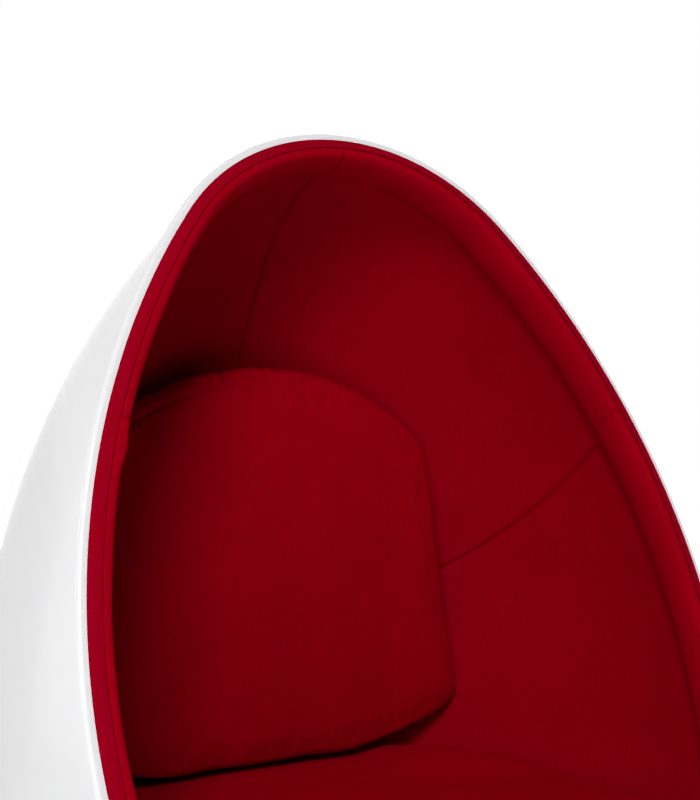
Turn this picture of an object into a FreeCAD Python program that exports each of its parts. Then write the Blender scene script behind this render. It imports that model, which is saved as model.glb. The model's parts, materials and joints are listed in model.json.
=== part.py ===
import FreeCAD, Part
import math
import os
import Sketcher

# Egg shaped swivel lounge chair. A glossy moulded egg stands on a round
# trumpet base and turns on a ball thrust bearing. Its front is cut away by a
# leaning plane, and the hollow is padded, lined with cloth and fitted with a
# loose back cushion and a seat cushion.
# Frame: +Z up, the chair faces -Y, the origin is on the swivel axis at the
# floor. Lengths are in millimetres and angles in degrees.

SIZES = {
    # egg: an arc on each side and a cap at each end, turned about its axis;
    # it is higher and deeper than a ball by these lengths
    "egg_radius": 425,
    "rise_over_radius": 265,
    "drop_over_radius": 75,
    "upper_arc_over_rise": 235,
    "lower_arc_over_drop": 60,
    "egg_lean": 5.4,
    # opening: a plane that looks forward and a little up
    "opening_reach": 180,
    "opening_tilt": 20.2,
    # moulded shell
    "shell_wall": 5,
    "lip_thick": 5,
    "lip_width": 17,
    "lip_round": 4,
    "pad_radius": 105,
    "pad_height": 125,
    "pad_laminate": 8,
    # foam backed lining and the padded collar behind the opening
    "lining_thick": 27,
    "cloth": 2,
    "collar_rise": 9,
    "collar_width": 57,
    "collar_stand": 7,
    "collar_round": 15,
    "crease_round": 8,
    # rounded edge band between lip and collar
    "band_width": 9,
    "band_cloth": 1.5,
    "band_flat": 1,
    # seam across the sides, which runs back and down
    "seam_height": 330,
    "seam_slope": 34.2,
    # upholstered seat base
    "seat_base_height": 383,
    "seat_base_round": 40,
    # seat cushion
    "seat_cushion_side": 132,
    "seat_crown": 20,
    "seat_edge_round": 28,
    "seat_front_past_opening": 45,
    "seat_front_inset": 125,
    "seat_front_curve": 75,
    "seat_flare": 40,
    "seat_corner_round": 60,
    "cushion_gap": 0.8,
    # back cushion
    "back_rear_stand": 75,
    "back_thick": 110,
    "back_crown": 18,
    "back_height": 505.5,
    "back_top_arc": 365,
    "back_shoulder_inset": 178,
    "back_shoulder_round": 50,
    "back_foot_inset": 122,
    "back_foot_rise": 51,
    "back_foot_round": 30,
    "back_side_draw": 5,
    "back_edge_round": 20,
    # zip closures
    "zip_width": 10,
    "back_zip_length": 280,
    "back_zip_rise": 81,
    "seat_zip_length": 400,
    "seat_zip_inset": 225,
    # base
    "floor_pad_thick": 3,
    "base_radius": 300,
    "plate_thick": 8,
    "plate_fit": 0.3,
    "plate_port_radius": 24,
    "cover_wall": 2,
    "cover_edge_round": 8,
    "cover_slope": 4.5,
    "cover_rim_height": 23.3,
    "neck_radius": 46,
    "neck_drop": 4,
    # column and bearing
    "spindle_radius": 20,
    "running_fit": 0.05,
    "bush_wall": 8,
    "bush_length": 26,
    "tube_wall": 6,
    "race_thick": 4,
    "race_clear": 1,
    "ball_radius": 4,
    "ball_seat": 0.5,
    "cage_thick": 3,
    "cage_margin": 1.2,
    "ball_play": 0.08,
    "spindle_foot_gap": 2,
    "ring_groove": 1.5,
    "ring_thick": 1.8,
    "ring_stand": 3,
    "ring_opening": 8,
    "retainer_thick": 2,
    "retainer_gap": 2,
    "retainer_play": 0.2,
    # top plate and its fixings
    "top_plate_inset": 5,
    "top_plate_thick": 6,
    "shroud_gap": 1.5,
    "shroud_wall": 3,
    "shroud_overlap": 7,
    "bolt_inset": 25,
    "bolt_radius": 4,
    "bolt_play": 0.5,
    "bolt_head_radius": 7,
    "bolt_head_height": 4.4,
    "bolt_socket": 5,
    "bolt_socket_depth": 2.6,
    "bolt_short": 1.6,
    "washer_radius": 8.5,
    "washer_thick": 1.6,
    "block_inset": 4,
    "block_thick": 24,
    "block_gap": 2,
    "nut_flange_radius": 11,
    "nut_flange_thick": 1.5,
    "nut_barrel_radius": 5.5,
    "nut_barrel_length": 11,
    # overrun of every cutting shape
    "overrun": 20,
}
COUNTS = {
    "ball_count": 16,
    "bolt_count": 4,
}
# the part of the cloth's thickness within which a point counts as on an edge
near_share = 0.1
# the part of the back cushion's height at which its front is fullest
back_crown_share = 0.58

doc = FreeCAD.newDocument("egg_chair")
sheet = doc.addObject("Spreadsheet::Sheet", "Sizes")


class Size:
    """A number together with the sheet formula that gives it."""

    def __init__(self, number, formula):
        self.number = float(number)
        self.formula = formula

    def joined(self, other, sign, number):
        return Size(number, "(%s %s %s)" % (self.formula, sign, other.formula))

    def __add__(self, other):
        other = as_size(other)
        return self.joined(other, "+", self.number + other.number)

    def __sub__(self, other):
        other = as_size(other)
        return self.joined(other, "-", self.number - other.number)

    def __mul__(self, other):
        other = as_size(other)
        return self.joined(other, "*", self.number * other.number)

    def __truediv__(self, other):
        other = as_size(other)
        return self.joined(other, "/", self.number / other.number)

    def __neg__(self):
        return Size(-self.number, "(0 - %s)" % self.formula)

    def __float__(self):
        return self.number


def as_size(value):
    if isinstance(value, Size):
        return value
    return Size(value, repr(float(value)))


def fill_sheet():
    """Write one row for each size and return the sizes by name."""
    sizes = {}
    rows = list(SIZES.items()) + list(COUNTS.items())
    for row, (name, value) in enumerate(rows, start=1):
        sheet.set("A%d" % row, name)
        sheet.set("B%d" % row, str(value))
        sheet.setAlias("B%d" % row, name)
        sizes[name] = Size(value, "Sizes." + name)
    doc.recompute()
    return sizes


size = fill_sheet()
nil = as_size(0)


def follow(name, value):
    """Give a size that follows from others a name of its own."""
    size[name] = value


follow("egg_rise", size["egg_radius"] + size["rise_over_radius"])
follow("egg_drop", size["egg_radius"] + size["drop_over_radius"])
follow("upper_side_arc", size["egg_rise"] + size["upper_arc_over_rise"])
follow("lower_side_arc", size["egg_drop"] + size["lower_arc_over_drop"])
follow("band_start", size["lip_width"] - size["band_width"])
follow("band_round", size["collar_stand"] - size["band_flat"])
follow("seat_front", size["opening_reach"] + size["seat_front_past_opening"])
follow("seat_front_reach", size["egg_radius"] - size["seat_front_inset"])
follow("seat_zip_back", size["egg_radius"] - size["seat_zip_inset"])
follow("seat_top", size["seat_base_height"] + size["seat_cushion_side"] + size["seat_crown"])
follow("back_rear", size["egg_radius"] - size["back_rear_stand"])
follow("back_front", size["back_rear"] - size["back_thick"])
follow("back_shoulder_reach", size["egg_radius"] - size["back_shoulder_inset"])
follow("back_foot_reach", size["egg_radius"] - size["back_foot_inset"])
follow("plate_foot", size["pad_height"] - size["top_plate_thick"])
follow("ball_stack", (size["ball_radius"] - size["ball_seat"]) * 2)
follow("tube_height", size["plate_foot"] - size["race_thick"] * 2 - size["ball_stack"])
follow("neck_height", size["tube_height"] - size["neck_drop"])
follow("tube_bore", size["spindle_radius"] + size["running_fit"] + size["bush_wall"])
follow("tube_radius", size["tube_bore"] + size["tube_wall"])
follow("race_bore", size["spindle_radius"] + size["race_clear"])
follow("ball_pitch_radius", (size["race_bore"] + size["tube_radius"]) / 2)
follow("retainer_radius", size["tube_bore"] - size["retainer_gap"])
follow("top_plate_radius", size["pad_radius"] - size["top_plate_inset"])
follow("bolt_pitch_radius", size["top_plate_radius"] - size["bolt_inset"])
follow("bolt_grip", size["top_plate_thick"] + size["pad_laminate"] + size["block_thick"])
follow("bolt_length", size["bolt_grip"] + size["washer_thick"] - size["bolt_short"])


def vector(x, y, z):
    return FreeCAD.Vector(float(x), float(y), float(z))


def sine(angle):
    return math.sin(math.radians(float(angle)))


def cosine(angle):
    return math.cos(math.radians(float(angle)))


def cap_radius(side_arc, reach):
    """Radius of the end cap that meets the side arc smoothly."""
    radius = size["egg_radius"]
    chord = side_arc * radius * 2 - radius * radius - reach * reach
    return chord / ((side_arc - reach) * 2)


# The lower cap is a ball, and its middle stands right above the swivel axis.
upper_cap = cap_radius(size["upper_side_arc"], size["egg_rise"])
lower_cap = cap_radius(size["lower_side_arc"], size["egg_drop"])
cap_drop = size["egg_drop"] - lower_cap
pad_sink = math.sqrt(float(lower_cap) ** 2 - float(size["pad_radius"]) ** 2)
laminate_reach = math.sqrt(
    float(lower_cap - size["shell_wall"]) ** 2 - (pad_sink - float(size["pad_laminate"])) ** 2
)
follow("block_radius", as_size(laminate_reach) - size["block_inset"])
centre_y = float(cap_drop) * sine(size["egg_lean"])
centre_z = float(size["pad_height"]) + pad_sink + float(cap_drop) * cosine(size["egg_lean"])
egg_centre = vector(0, centre_y, centre_z)
egg_frame = FreeCAD.Placement(
    egg_centre, FreeCAD.Rotation(vector(1, 0, 0), -float(size["egg_lean"]))
)
opening_normal = vector(0, -cosine(size["opening_tilt"]), sine(size["opening_tilt"]))
opening_frame = FreeCAD.Placement(
    egg_centre + opening_normal * float(size["opening_reach"]),
    FreeCAD.Rotation(vector(0, 0, 1), opening_normal),
)
whole = (size["egg_rise"] + size["egg_drop"]) * 2
near = float(size["cloth"]) * near_share
face_depth = size["shell_wall"] + size["lining_thick"]
collar_depth = face_depth + size["collar_rise"]


def bound(thing, name, value):
    """Bind a property or a sketch constraint to its sheet formula."""
    thing.setExpression(name, as_size(value).formula)


def plane_of(body, role):
    planes = [item for item in body.Origin.OriginFeatures if item.Role == role]
    return planes[0]


def new_sketch(body, name, role="XZ_Plane"):
    sketch = body.newObject("Sketcher::SketchObject", name)
    sketch.AttachmentSupport = [(plane_of(body, role), "")]
    sketch.MapMode = "FlatFace"
    return sketch


def hold(sketch, kind, references, value, name):
    """Add one sized constraint under a name and bind it."""
    index = sketch.addConstraint(Sketcher.Constraint(kind, *references, float(value)))
    sketch.renameConstraint(index, name)
    bound(sketch, "Constraints." + name, value)


def hold_point(sketch, element, end, across, along, name):
    """Fix one corner of a profile at its distance from both axes."""
    for kind, value, axis in (("DistanceX", across, -2), ("DistanceY", along, -1)):
        if float(value) == 0:
            sketch.addConstraint(Sketcher.Constraint("PointOnObject", element, end, axis))
        elif float(value) > 0:
            hold(sketch, kind, (-1, 1, element, end), value, name + kind)
        else:
            hold(sketch, kind, (element, end, -1, 1), -value, name + kind)


def draw_outline(sketch, corners):
    """Draw a closed outline of straight lines through sized corners."""
    points = [vector(across, along, 0) for across, along in corners]
    count = len(points)
    for index in range(count):
        sketch.addGeometry(Part.LineSegment(points[index], points[(index + 1) % count]), False)
    for index in range(count):
        following = (index + 1) % count
        sketch.addConstraint(Sketcher.Constraint("Coincident", index, 2, following, 1))
    for index, (across, along) in enumerate(corners):
        hold_point(sketch, index, 1, across, along, "corner%d" % index)


def turned(name, corners):
    """A body turned about the swivel axis from radius and height corners."""
    body = doc.addObject("PartDesign::Body", name)
    sketch = new_sketch(body, name + "_profile")
    draw_outline(sketch, corners)
    turn = body.newObject("PartDesign::Revolution", name + "_turn")
    turn.Profile = sketch
    turn.ReferenceAxis = (sketch, ["V_Axis"])
    turn.Angle = 360
    return body


def ring_corners(inner, outer, low, high):
    return [(inner, low), (outer, low), (outer, high), (inner, high)]


def cap_turn(side_arc, reach, cap):
    """Angle at which the side arc meets the cap, measured from the widest level."""
    return math.atan2(float(reach - cap), float(side_arc - size["egg_radius"]))


def egg_layer(name, depth):
    """The egg's surface, moved inwards by a depth, as a solid.

    The top cap is a ball of its own, turned so that neither its poles nor its
    seam lies on the egg, because the opening's edge runs over the egg's top.
    """
    depth = as_size(depth)
    deep = float(depth)
    radius = float(size["egg_radius"])
    upper, lower = float(size["upper_side_arc"]), float(size["lower_side_arc"])
    rise, drop = float(size["egg_rise"]), float(size["egg_drop"])
    upper_turn = cap_turn(size["upper_side_arc"], size["egg_rise"], upper_cap)
    lower_turn = cap_turn(size["lower_side_arc"], size["egg_drop"], lower_cap)
    cap_level = (upper - deep) * math.sin(upper_turn)
    cap_edge = radius - upper + (upper - deep) * math.cos(upper_turn)

    def arc(x, y, arc_radius, start, end):
        circle = Part.Circle(vector(x, y, 0), vector(0, 0, 1), arc_radius - deep)
        return Part.ArcOfCircle(circle, start, end)

    body = doc.addObject("PartDesign::Body", name + "_bowl")
    sketch = new_sketch(body, name + "_profile")
    top_arc = arc(0, rise - float(upper_cap), float(upper_cap), upper_turn, math.pi / 2)
    sketch.addGeometry(top_arc, True)
    sketch.addGeometry(arc(radius - upper, 0, upper, 0, upper_turn), False)
    sketch.addGeometry(arc(radius - lower, 0, lower, -lower_turn, 0), False)
    low_arc = arc(0, float(lower_cap) - drop, float(lower_cap), -math.pi / 2, -lower_turn)
    sketch.addGeometry(low_arc, False)
    axis_foot = vector(0, deep - drop, 0)
    axis_head = vector(0, cap_level, 0)
    sketch.addGeometry(Part.LineSegment(axis_foot, axis_head), False)
    sketch.addGeometry(Part.LineSegment(axis_head, vector(cap_edge, cap_level, 0)), False)
    for first, first_end, second, second_end in ((0, 1, 1, 2), (2, 1, 3, 2)):
        sketch.addConstraint(
            Sketcher.Constraint("Tangent", first, first_end, second, second_end)
        )
    for first, first_end, second, second_end in (
        (1, 1, 2, 2), (3, 1, 4, 1), (4, 2, 5, 1), (5, 2, 1, 2)
    ):
        sketch.addConstraint(
            Sketcher.Constraint("Coincident", first, first_end, second, second_end)
        )
    on_axes = (
        (0, 3, -2), (0, 2, -2), (3, 3, -2), (1, 3, -1), (2, 3, -1), (4, 1, -2), (4, 2, -2), (1, 1, -1)
    )
    for element, end, axis in on_axes:
        sketch.addConstraint(Sketcher.Constraint("PointOnObject", element, end, axis))
    sketch.addConstraint(Sketcher.Constraint("Horizontal", 5))
    hold(sketch, "Radius", (1,), size["upper_side_arc"] - depth, "upper_arc")
    hold(sketch, "Radius", (2,), size["lower_side_arc"] - depth, "lower_arc")
    hold(sketch, "DistanceX", (-1, 1, 1, 1), size["egg_radius"] - depth, "widest")
    hold(sketch, "DistanceY", (-1, 1, 0, 2), size["egg_rise"] - depth, "top")
    hold(sketch, "DistanceY", (4, 1, -1, 1), size["egg_drop"] - depth, "bottom")
    turn = body.newObject("PartDesign::Revolution", name + "_turn")
    turn.Profile = sketch
    turn.ReferenceAxis = (sketch, ["V_Axis"])
    turn.Angle = 360
    body.Placement = egg_frame

    ball = doc.addObject("Part::Sphere", name + "_ball")
    bound(ball, "Radius", upper_cap - depth)
    sideways = FreeCAD.Rotation(vector(0, 1, 0), 90)
    ball.Placement = egg_frame * FreeCAD.Placement(vector(0, 0, rise - float(upper_cap)), sideways)
    over = FreeCAD.Placement(
        vector(-float(whole) / 2, -float(whole) / 2, cap_level), FreeCAD.Rotation()
    )
    cap = common(name + "_cap", ball, box(name + "_over", whole, whole, whole, egg_frame * over))
    return fuse(name, body, cap)


def box(name, length, width, height, placement):
    block = doc.addObject("Part::Box", name)
    for side, value in (("Length", length), ("Width", width), ("Height", height)):
        bound(block, side, value)
    block.Placement = placement
    return block


def cylinder(name, radius, low, high, x=0.0, y=0.0):
    post = doc.addObject("Part::Cylinder", name)
    bound(post, "Radius", radius)
    bound(post, "Height", as_size(high) - low)
    post.Placement.Base = vector(x, y, low)
    return post


def cut(name, base, tool):
    result = doc.addObject("Part::Cut", name)
    result.Base = base
    result.Tool = tool
    return result


def common(name, *shapes):
    result = doc.addObject("Part::MultiCommon", name)
    result.Shapes = list(shapes)
    return result


def fuse(name, *shapes):
    result = doc.addObject("Part::MultiFuse", name)
    result.Shapes = list(shapes)
    result.Refine = True
    return result


def slab(name, low, high):
    """Everything between two planes beside the opening plane."""
    low, high = as_size(low), as_size(high)
    corner = FreeCAD.Placement(
        vector(-float(whole) / 2, -float(whole) / 2, low), FreeCAD.Rotation()
    )
    return box(name, whole, whole, high - low, opening_frame * corner)


def below(name, height):
    """Everything under a level plane."""
    corner = vector(-float(whole) / 2, -float(whole) / 2, float(height) - float(whole))
    return box(name, whole, whole, whole, FreeCAD.Placement(corner, FreeCAD.Rotation()))


def egg_depth(point):
    """Depth of a point below the egg's outer surface."""
    local = egg_frame.inverse().multVec(point)
    along = abs(local.z)
    across = math.hypot(local.x, local.y)
    radius = float(size["egg_radius"])
    side, reach, cap = size["upper_side_arc"], size["egg_rise"], upper_cap
    if local.z < 0:
        side, reach, cap = size["lower_side_arc"], size["egg_drop"], lower_cap
    turn = cap_turn(side, reach, cap)
    side, reach, cap = float(side), float(reach), float(cap)
    if math.atan2(along, across - (radius - side)) <= turn:
        return side - math.hypot(across - (radius - side), along)
    return cap - math.hypot(across, along - (reach - cap))


def opening_height(point):
    """Height of a point in front of the opening plane."""
    return opening_frame.inverse().multVec(point).z


def edges_where(shape, test):
    """Numbers of the edges whose points all pass a test."""
    found = []
    for number, edge in enumerate(shape.Edges, start=1):
        if edge.Degenerated or edge.Length < float(size["cloth"]):
            continue
        if all(test(point) for point in edge.discretize(5)):
            found.append(number)
    return found


def rim_edges(shape, height, depth):
    """Numbers of the edges that run round the rim at a height and a depth."""
    def on_rim(point):
        level = abs(opening_height(point) - float(height)) < near
        return level and abs(egg_depth(point) - float(depth)) < near

    return edges_where(shape, on_rim)


def rounded(name, base, radius, numbers):
    """Fillet the numbered edges of a solid."""
    result = doc.addObject("Part::Fillet", name)
    result.Base = base
    result.Edges = [(number, float(radius), float(radius)) for number in numbers]
    return result


def repeated(name, source, count, radius):
    """Copies of one solid, evenly spaced round the swivel axis."""
    doc.recompute()
    copies = []
    for index in range(int(float(count))):
        angle = 360.0 * index / float(count)
        copy = source.Shape.copy()
        start = vector(radius, 0, 0)
        turn = FreeCAD.Rotation(vector(0, 0, 1), angle)
        copy.Placement = FreeCAD.Placement(turn.multVec(start), turn) * copy.Placement
        copies.append(copy)
    ring = doc.addObject("Part::Feature", name)
    ring.Shape = Part.makeCompound(copies)
    return ring


# Egg layers from the outside in
outside = egg_layer("egg_outside", nil)
inside = egg_layer("egg_inside", size["shell_wall"])
lining_face = egg_layer("egg_lining_face", face_depth)
collar_face = egg_layer("egg_collar_face", collar_depth)
lip_face = egg_layer("egg_lip_face", size["lip_width"])
cushion_face = egg_layer("egg_cushion_face", face_depth + size["cushion_gap"])
cushion_core_face = egg_layer(
    "egg_cushion_core_face", face_depth + size["cushion_gap"] + size["cloth"]
)

behind_opening = slab("behind_opening", -whole, nil)
behind_collar = slab("behind_collar", -whole, -size["collar_width"])


def bolt_holes(name, radius):
    post = cylinder(
        name + "_post", radius, size["pad_height"] - size["overrun"] * 2,
        size["pad_height"] + size["pad_laminate"] + size["block_thick"] + size["overrun"],
    )
    return repeated(name, post, size["bolt_count"], size["bolt_pitch_radius"])


bolt_clearance = bolt_holes("bolt_clearance", size["bolt_radius"] + size["bolt_play"])


def make_shell():
    """Moulded shell with a flat pad below and a rounded lip round the opening."""
    floor_cut = cut("shell_outside_flat", outside, below("under_pad", size["pad_height"]))
    laminate_top = size["pad_height"] + size["pad_laminate"]
    hollow = cut("shell_inside_flat", inside, below("under_laminate", laminate_top))
    skin = common("shell_skin", cut("shell_closed", floor_cut, hollow), behind_opening)
    lip_slab = slab("lip_slab", -size["lip_thick"], nil)
    lip = common("shell_lip", cut("lip_ring", outside, lip_face), lip_slab)
    blank = fuse("shell_blank", skin, lip)
    doc.recompute()
    edge = rim_edges(blank.Shape, nil, nil)
    rounded_blank = rounded("shell_rounded", blank, size["lip_round"], edge)
    return cut("shell", rounded_blank, bolt_clearance)


shell = make_shell()

block_foot = size["pad_height"] + size["pad_laminate"]
block_top = block_foot + size["block_thick"]
well = cylinder(
    "block_well", size["block_radius"] + size["block_gap"],
    nil, block_top + size["nut_flange_thick"] + size["block_gap"],
)


def over_side_seams():
    """The space above the two side seams, which run back and down."""
    corner = FreeCAD.Placement(vector(-float(whole) / 2, -float(whole) / 2, 0), FreeCAD.Rotation())
    tilt = FreeCAD.Rotation(vector(1, 0, 0), -float(size["seam_slope"]))
    start = egg_centre + vector(0, 0, size["seam_height"])
    return box("over_side_seams", whole, whole, whole, FreeCAD.Placement(start, tilt) * corner)


upper_space = over_side_seams()
left_space = box(
    "left_space", whole, whole * 2, whole * 2,
    FreeCAD.Placement(vector(-float(whole), -float(whole), -float(whole)), FreeCAD.Rotation()),
)


def sewn_panels(blank, stem):
    """Cut one padded layer along its seams into three panels."""
    upper = common(stem + "_upper", blank, upper_space)
    return {
        stem + "_upper_left": common(stem + "_upper_left", upper, left_space),
        stem + "_upper_right": cut(stem + "_upper_right", upper, left_space),
        stem + "_lower": cut(stem + "_lower", blank, upper_space),
    }


def make_lining():
    """Foam backed cloth, bonded to the shell from the collar to its laminate."""
    ring = common("lining_ring", cut("lining_closed", inside, lining_face), behind_collar)
    seated = cut("lining_seated", ring, below("under_lining", block_foot))
    return sewn_panels(cut("lining", seated, well), "lining")


lining = make_lining()


def make_collar():
    """Padded roll behind the lip, rounded to the front and at the crease."""
    ring = cut("collar_ring", inside, collar_face)
    band = slab("collar_slab", -size["collar_width"], size["collar_stand"])
    blank = common("collar_blank", ring, band)
    doc.recompute()
    front_edge = rim_edges(blank.Shape, size["collar_stand"], collar_depth)
    front = rounded("collar_front", blank, size["collar_round"], front_edge)
    doc.recompute()
    crease_edge = rim_edges(front.Shape, -size["collar_width"], collar_depth)
    roll = rounded("collar_roll", front, size["crease_round"], crease_edge)
    lip_space = common(
        "lip_space", cut("lip_space_ring", outside, lip_face),
        slab("lip_space_slab", -size["lip_thick"], size["collar_stand"] + size["overrun"]),
    )
    return sewn_panels(cut("collar", roll, lip_space), "collar")


collar = make_collar()


def edge_solid(name, inset):
    """Ring on the lip whose outer front corner rolls down to the shell."""
    start = size["band_start"] + inset
    height = size["collar_stand"] - inset
    ring = cut(name + "_ring", egg_layer(name + "_layer", start), lip_face)
    blank = common(name + "_blank", ring, slab(name + "_slab", nil, height))
    doc.recompute()
    corner = rim_edges(blank.Shape, height, start)
    return rounded(name + "_round", blank, size["band_round"] - inset, corner)


def make_edge():
    """Flexible edge strip and the ribbed band that wraps it."""
    outer = edge_solid("edge_outer", nil)
    strip = edge_solid("edge_strip", size["band_cloth"])
    return {"edge_strip": strip, "edge_band": cut("edge_band", outer, strip)}


edge = make_edge()


def seat_base_solid(name, inset):
    """Block that fills the bowl, flat on top and rounded to the front."""
    top = size["seat_base_height"] - inset
    behind = slab(name + "_slab", -whole, -(size["collar_width"] + inset))
    blank = common(name + "_blank", lining_face, below(name + "_level", top), behind)
    doc.recompute()
    back = -(float(size["collar_width"]) + float(inset))

    def on_front_edge(point):
        return abs(point.z - float(top)) < near and abs(opening_height(point) - back) < near

    numbers = edges_where(blank.Shape, on_front_edge)
    soft = rounded(name + "_soft", blank, size["seat_base_round"] - inset, numbers)
    return cut(name + "_block", soft, well)


def make_seat_base():
    outer = seat_base_solid("seat_base_outer", nil)
    foam = seat_base_solid("seat_base_core", size["cloth"])
    return {"seat_base_foam": foam, "seat_base_cover": cut("seat_base_cover", outer, foam)}


seat_base = make_seat_base()


def arc_through(first, last, bulge):
    """Arc between two points that stands off its chord to the left."""
    middle = (first + last) * 0.5
    chord = last - first
    left = vector(-chord.y, chord.x, 0)
    left.normalize()
    return Part.Arc(first, middle + left * float(bulge), last)


def padded(name, height, outline, normal, start):
    """Extrude a closed outline of edges along a normal."""
    face = Part.Face(Part.Wire(outline))
    blank = doc.addObject("Part::Feature", name + "_outline")
    blank.Shape = face
    blank.Placement = start
    block = doc.addObject("Part::Extrusion", name + "_block")
    block.Base = blank
    block.DirMode = "Custom"
    block.Dir = normal
    bound(block, "LengthFwd", height)
    block.Solid = True
    return block


def dome_radius(rise, reach):
    """Radius of the ball that rises by one length within a reach."""
    return (float(reach) ** 2 + float(rise) ** 2) / (2 * float(rise))


def dome(name, rise, reach, inset, pole, towards):
    """Large ball whose pole gives a cushion face its crown."""
    radius = dome_radius(rise, reach)
    ball = doc.addObject("Part::Sphere", name)
    ball.Radius = radius - float(inset)
    ball.Placement.Base = pole - towards * radius
    return ball


def seat_outline(inset):
    """Bowed front between two corners, then sides that widen into the bowl."""
    trim = float(inset)
    front = centre_y - float(size["seat_front"]) + trim
    corner = vector(
        float(size["seat_front_reach"]) - trim, front + float(size["seat_front_curve"]), 0
    )
    # the sides and the back lie outside the egg, which cuts them away
    flare = math.tan(math.radians(float(size["seat_flare"])))
    far = float(size["egg_radius"] + size["overrun"])
    side = vector(far, corner.y + (far - corner.x) / flare, 0)
    back = vector(far, far * 2, 0)
    mirrored = [vector(-point.x, point.y, 0) for point in (corner, side, back)]
    return [
        Part.Arc(mirrored[0], vector(0, front, 0), corner).toShape(),
        Part.LineSegment(corner, side).toShape(),
        Part.LineSegment(side, back).toShape(),
        Part.LineSegment(back, mirrored[2]).toShape(),
        Part.LineSegment(mirrored[2], mirrored[1]).toShape(),
        Part.LineSegment(mirrored[1], mirrored[0]).toShape(),
    ]


def seat_solid(name, layer, inset):
    """Boxed seat cushion that follows the bowl behind and is crowned on top."""
    inset = as_size(inset)
    low = size["seat_base_height"] + inset
    height = size["seat_cushion_side"] + size["seat_crown"] + size["overrun"]
    start = FreeCAD.Placement(vector(0, 0, low), FreeCAD.Rotation())
    block = padded(name, height, seat_outline(inset), vector(0, 0, 1), start)
    doc.recompute()
    front_corner = centre_y - float(size["seat_front"] - size["seat_front_curve"] - inset)

    def on_front_corner(point):
        return abs(point.y - front_corner) < near

    corners = edges_where(block.Shape, on_front_corner)
    block = rounded(name + "_corners", block, size["seat_corner_round"] - inset, corners)
    pole = vector(0, centre_y, size["seat_top"])
    crown = dome(
        name + "_crown", size["seat_crown"], size["egg_radius"] - face_depth,
        inset, pole, vector(0, 0, 1),
    )
    blank = common(name + "_blank", block, layer, crown)
    doc.recompute()
    crown_centre, crown_radius = crown.Placement.Base, float(crown.Radius)

    def on_crown(point):
        return abs((point - crown_centre).Length - crown_radius) < near

    return rounded(
        name + "_soft", blank, size["seat_edge_round"] - inset,
        edges_where(blank.Shape, on_crown),
    )


def slot(name, length, corner, across):
    """Thin strip that a zip closure takes up in a cover."""
    sides = {"x": length, "y": size["cloth"], "z": size["zip_width"]}
    if across == "z":
        sides = {"x": length, "y": size["zip_width"], "z": size["cloth"]}
    return box(
        name, sides["x"], sides["y"], sides["z"], FreeCAD.Placement(corner, FreeCAD.Rotation())
    )


def make_seat_cushion():
    outer = seat_solid("seat_outer", cushion_face, nil)
    foam = seat_solid("seat_core", cushion_core_face, size["cloth"])
    corner = vector(
        -float(size["seat_zip_length"]) / 2,
        centre_y + float(size["seat_zip_back"]),
        size["seat_base_height"],
    )
    closure = slot("seat_cushion_zip", size["seat_zip_length"], corner, "z")
    skin = cut("seat_cushion_skin", outer, foam)
    return {
        "seat_cushion_foam": foam,
        "seat_cushion_cover": cut("seat_cushion_cover", skin, closure),
        "seat_cushion_zip": closure,
    }


seat_cushion = make_seat_cushion()

# The back cushion stands on the seat cushion's crown, which drops to the back.
# Its rounded front edge keeps the two clear of each other.
seat_dome = dome_radius(size["seat_crown"], size["egg_radius"] - face_depth)
back_nearest = float(size["back_front"] - size["back_crown"])
seat_drop = seat_dome - math.sqrt(seat_dome ** 2 - back_nearest ** 2)
back_low = float(size["seat_top"]) - seat_drop
back_fullest = back_low + float(size["back_height"]) * back_crown_share


def back_outline(inset):
    """Arched top, drawn in sides that widen downwards, and a shallow bottom arc."""
    trim = float(inset)
    top = float(size["back_height"]) - trim
    top_arc = float(size["back_top_arc"]) - trim
    side = float(size["back_shoulder_reach"]) - trim
    shoulder = vector(side, top - top_arc + math.sqrt(top_arc ** 2 - side ** 2), 0)
    foot = vector(float(size["back_foot_reach"]) - trim, size["back_foot_rise"], 0)
    left = [vector(-shoulder.x, shoulder.y, 0), vector(-foot.x, foot.y, 0)]
    draw = float(size["back_side_draw"])
    return [
        Part.Arc(shoulder, vector(0, top, 0), left[0]).toShape(),
        arc_through(left[0], left[1], draw).toShape(),
        Part.Arc(left[1], vector(0, trim, 0), foot).toShape(),
        arc_through(foot, shoulder, draw).toShape(),
    ]


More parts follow.
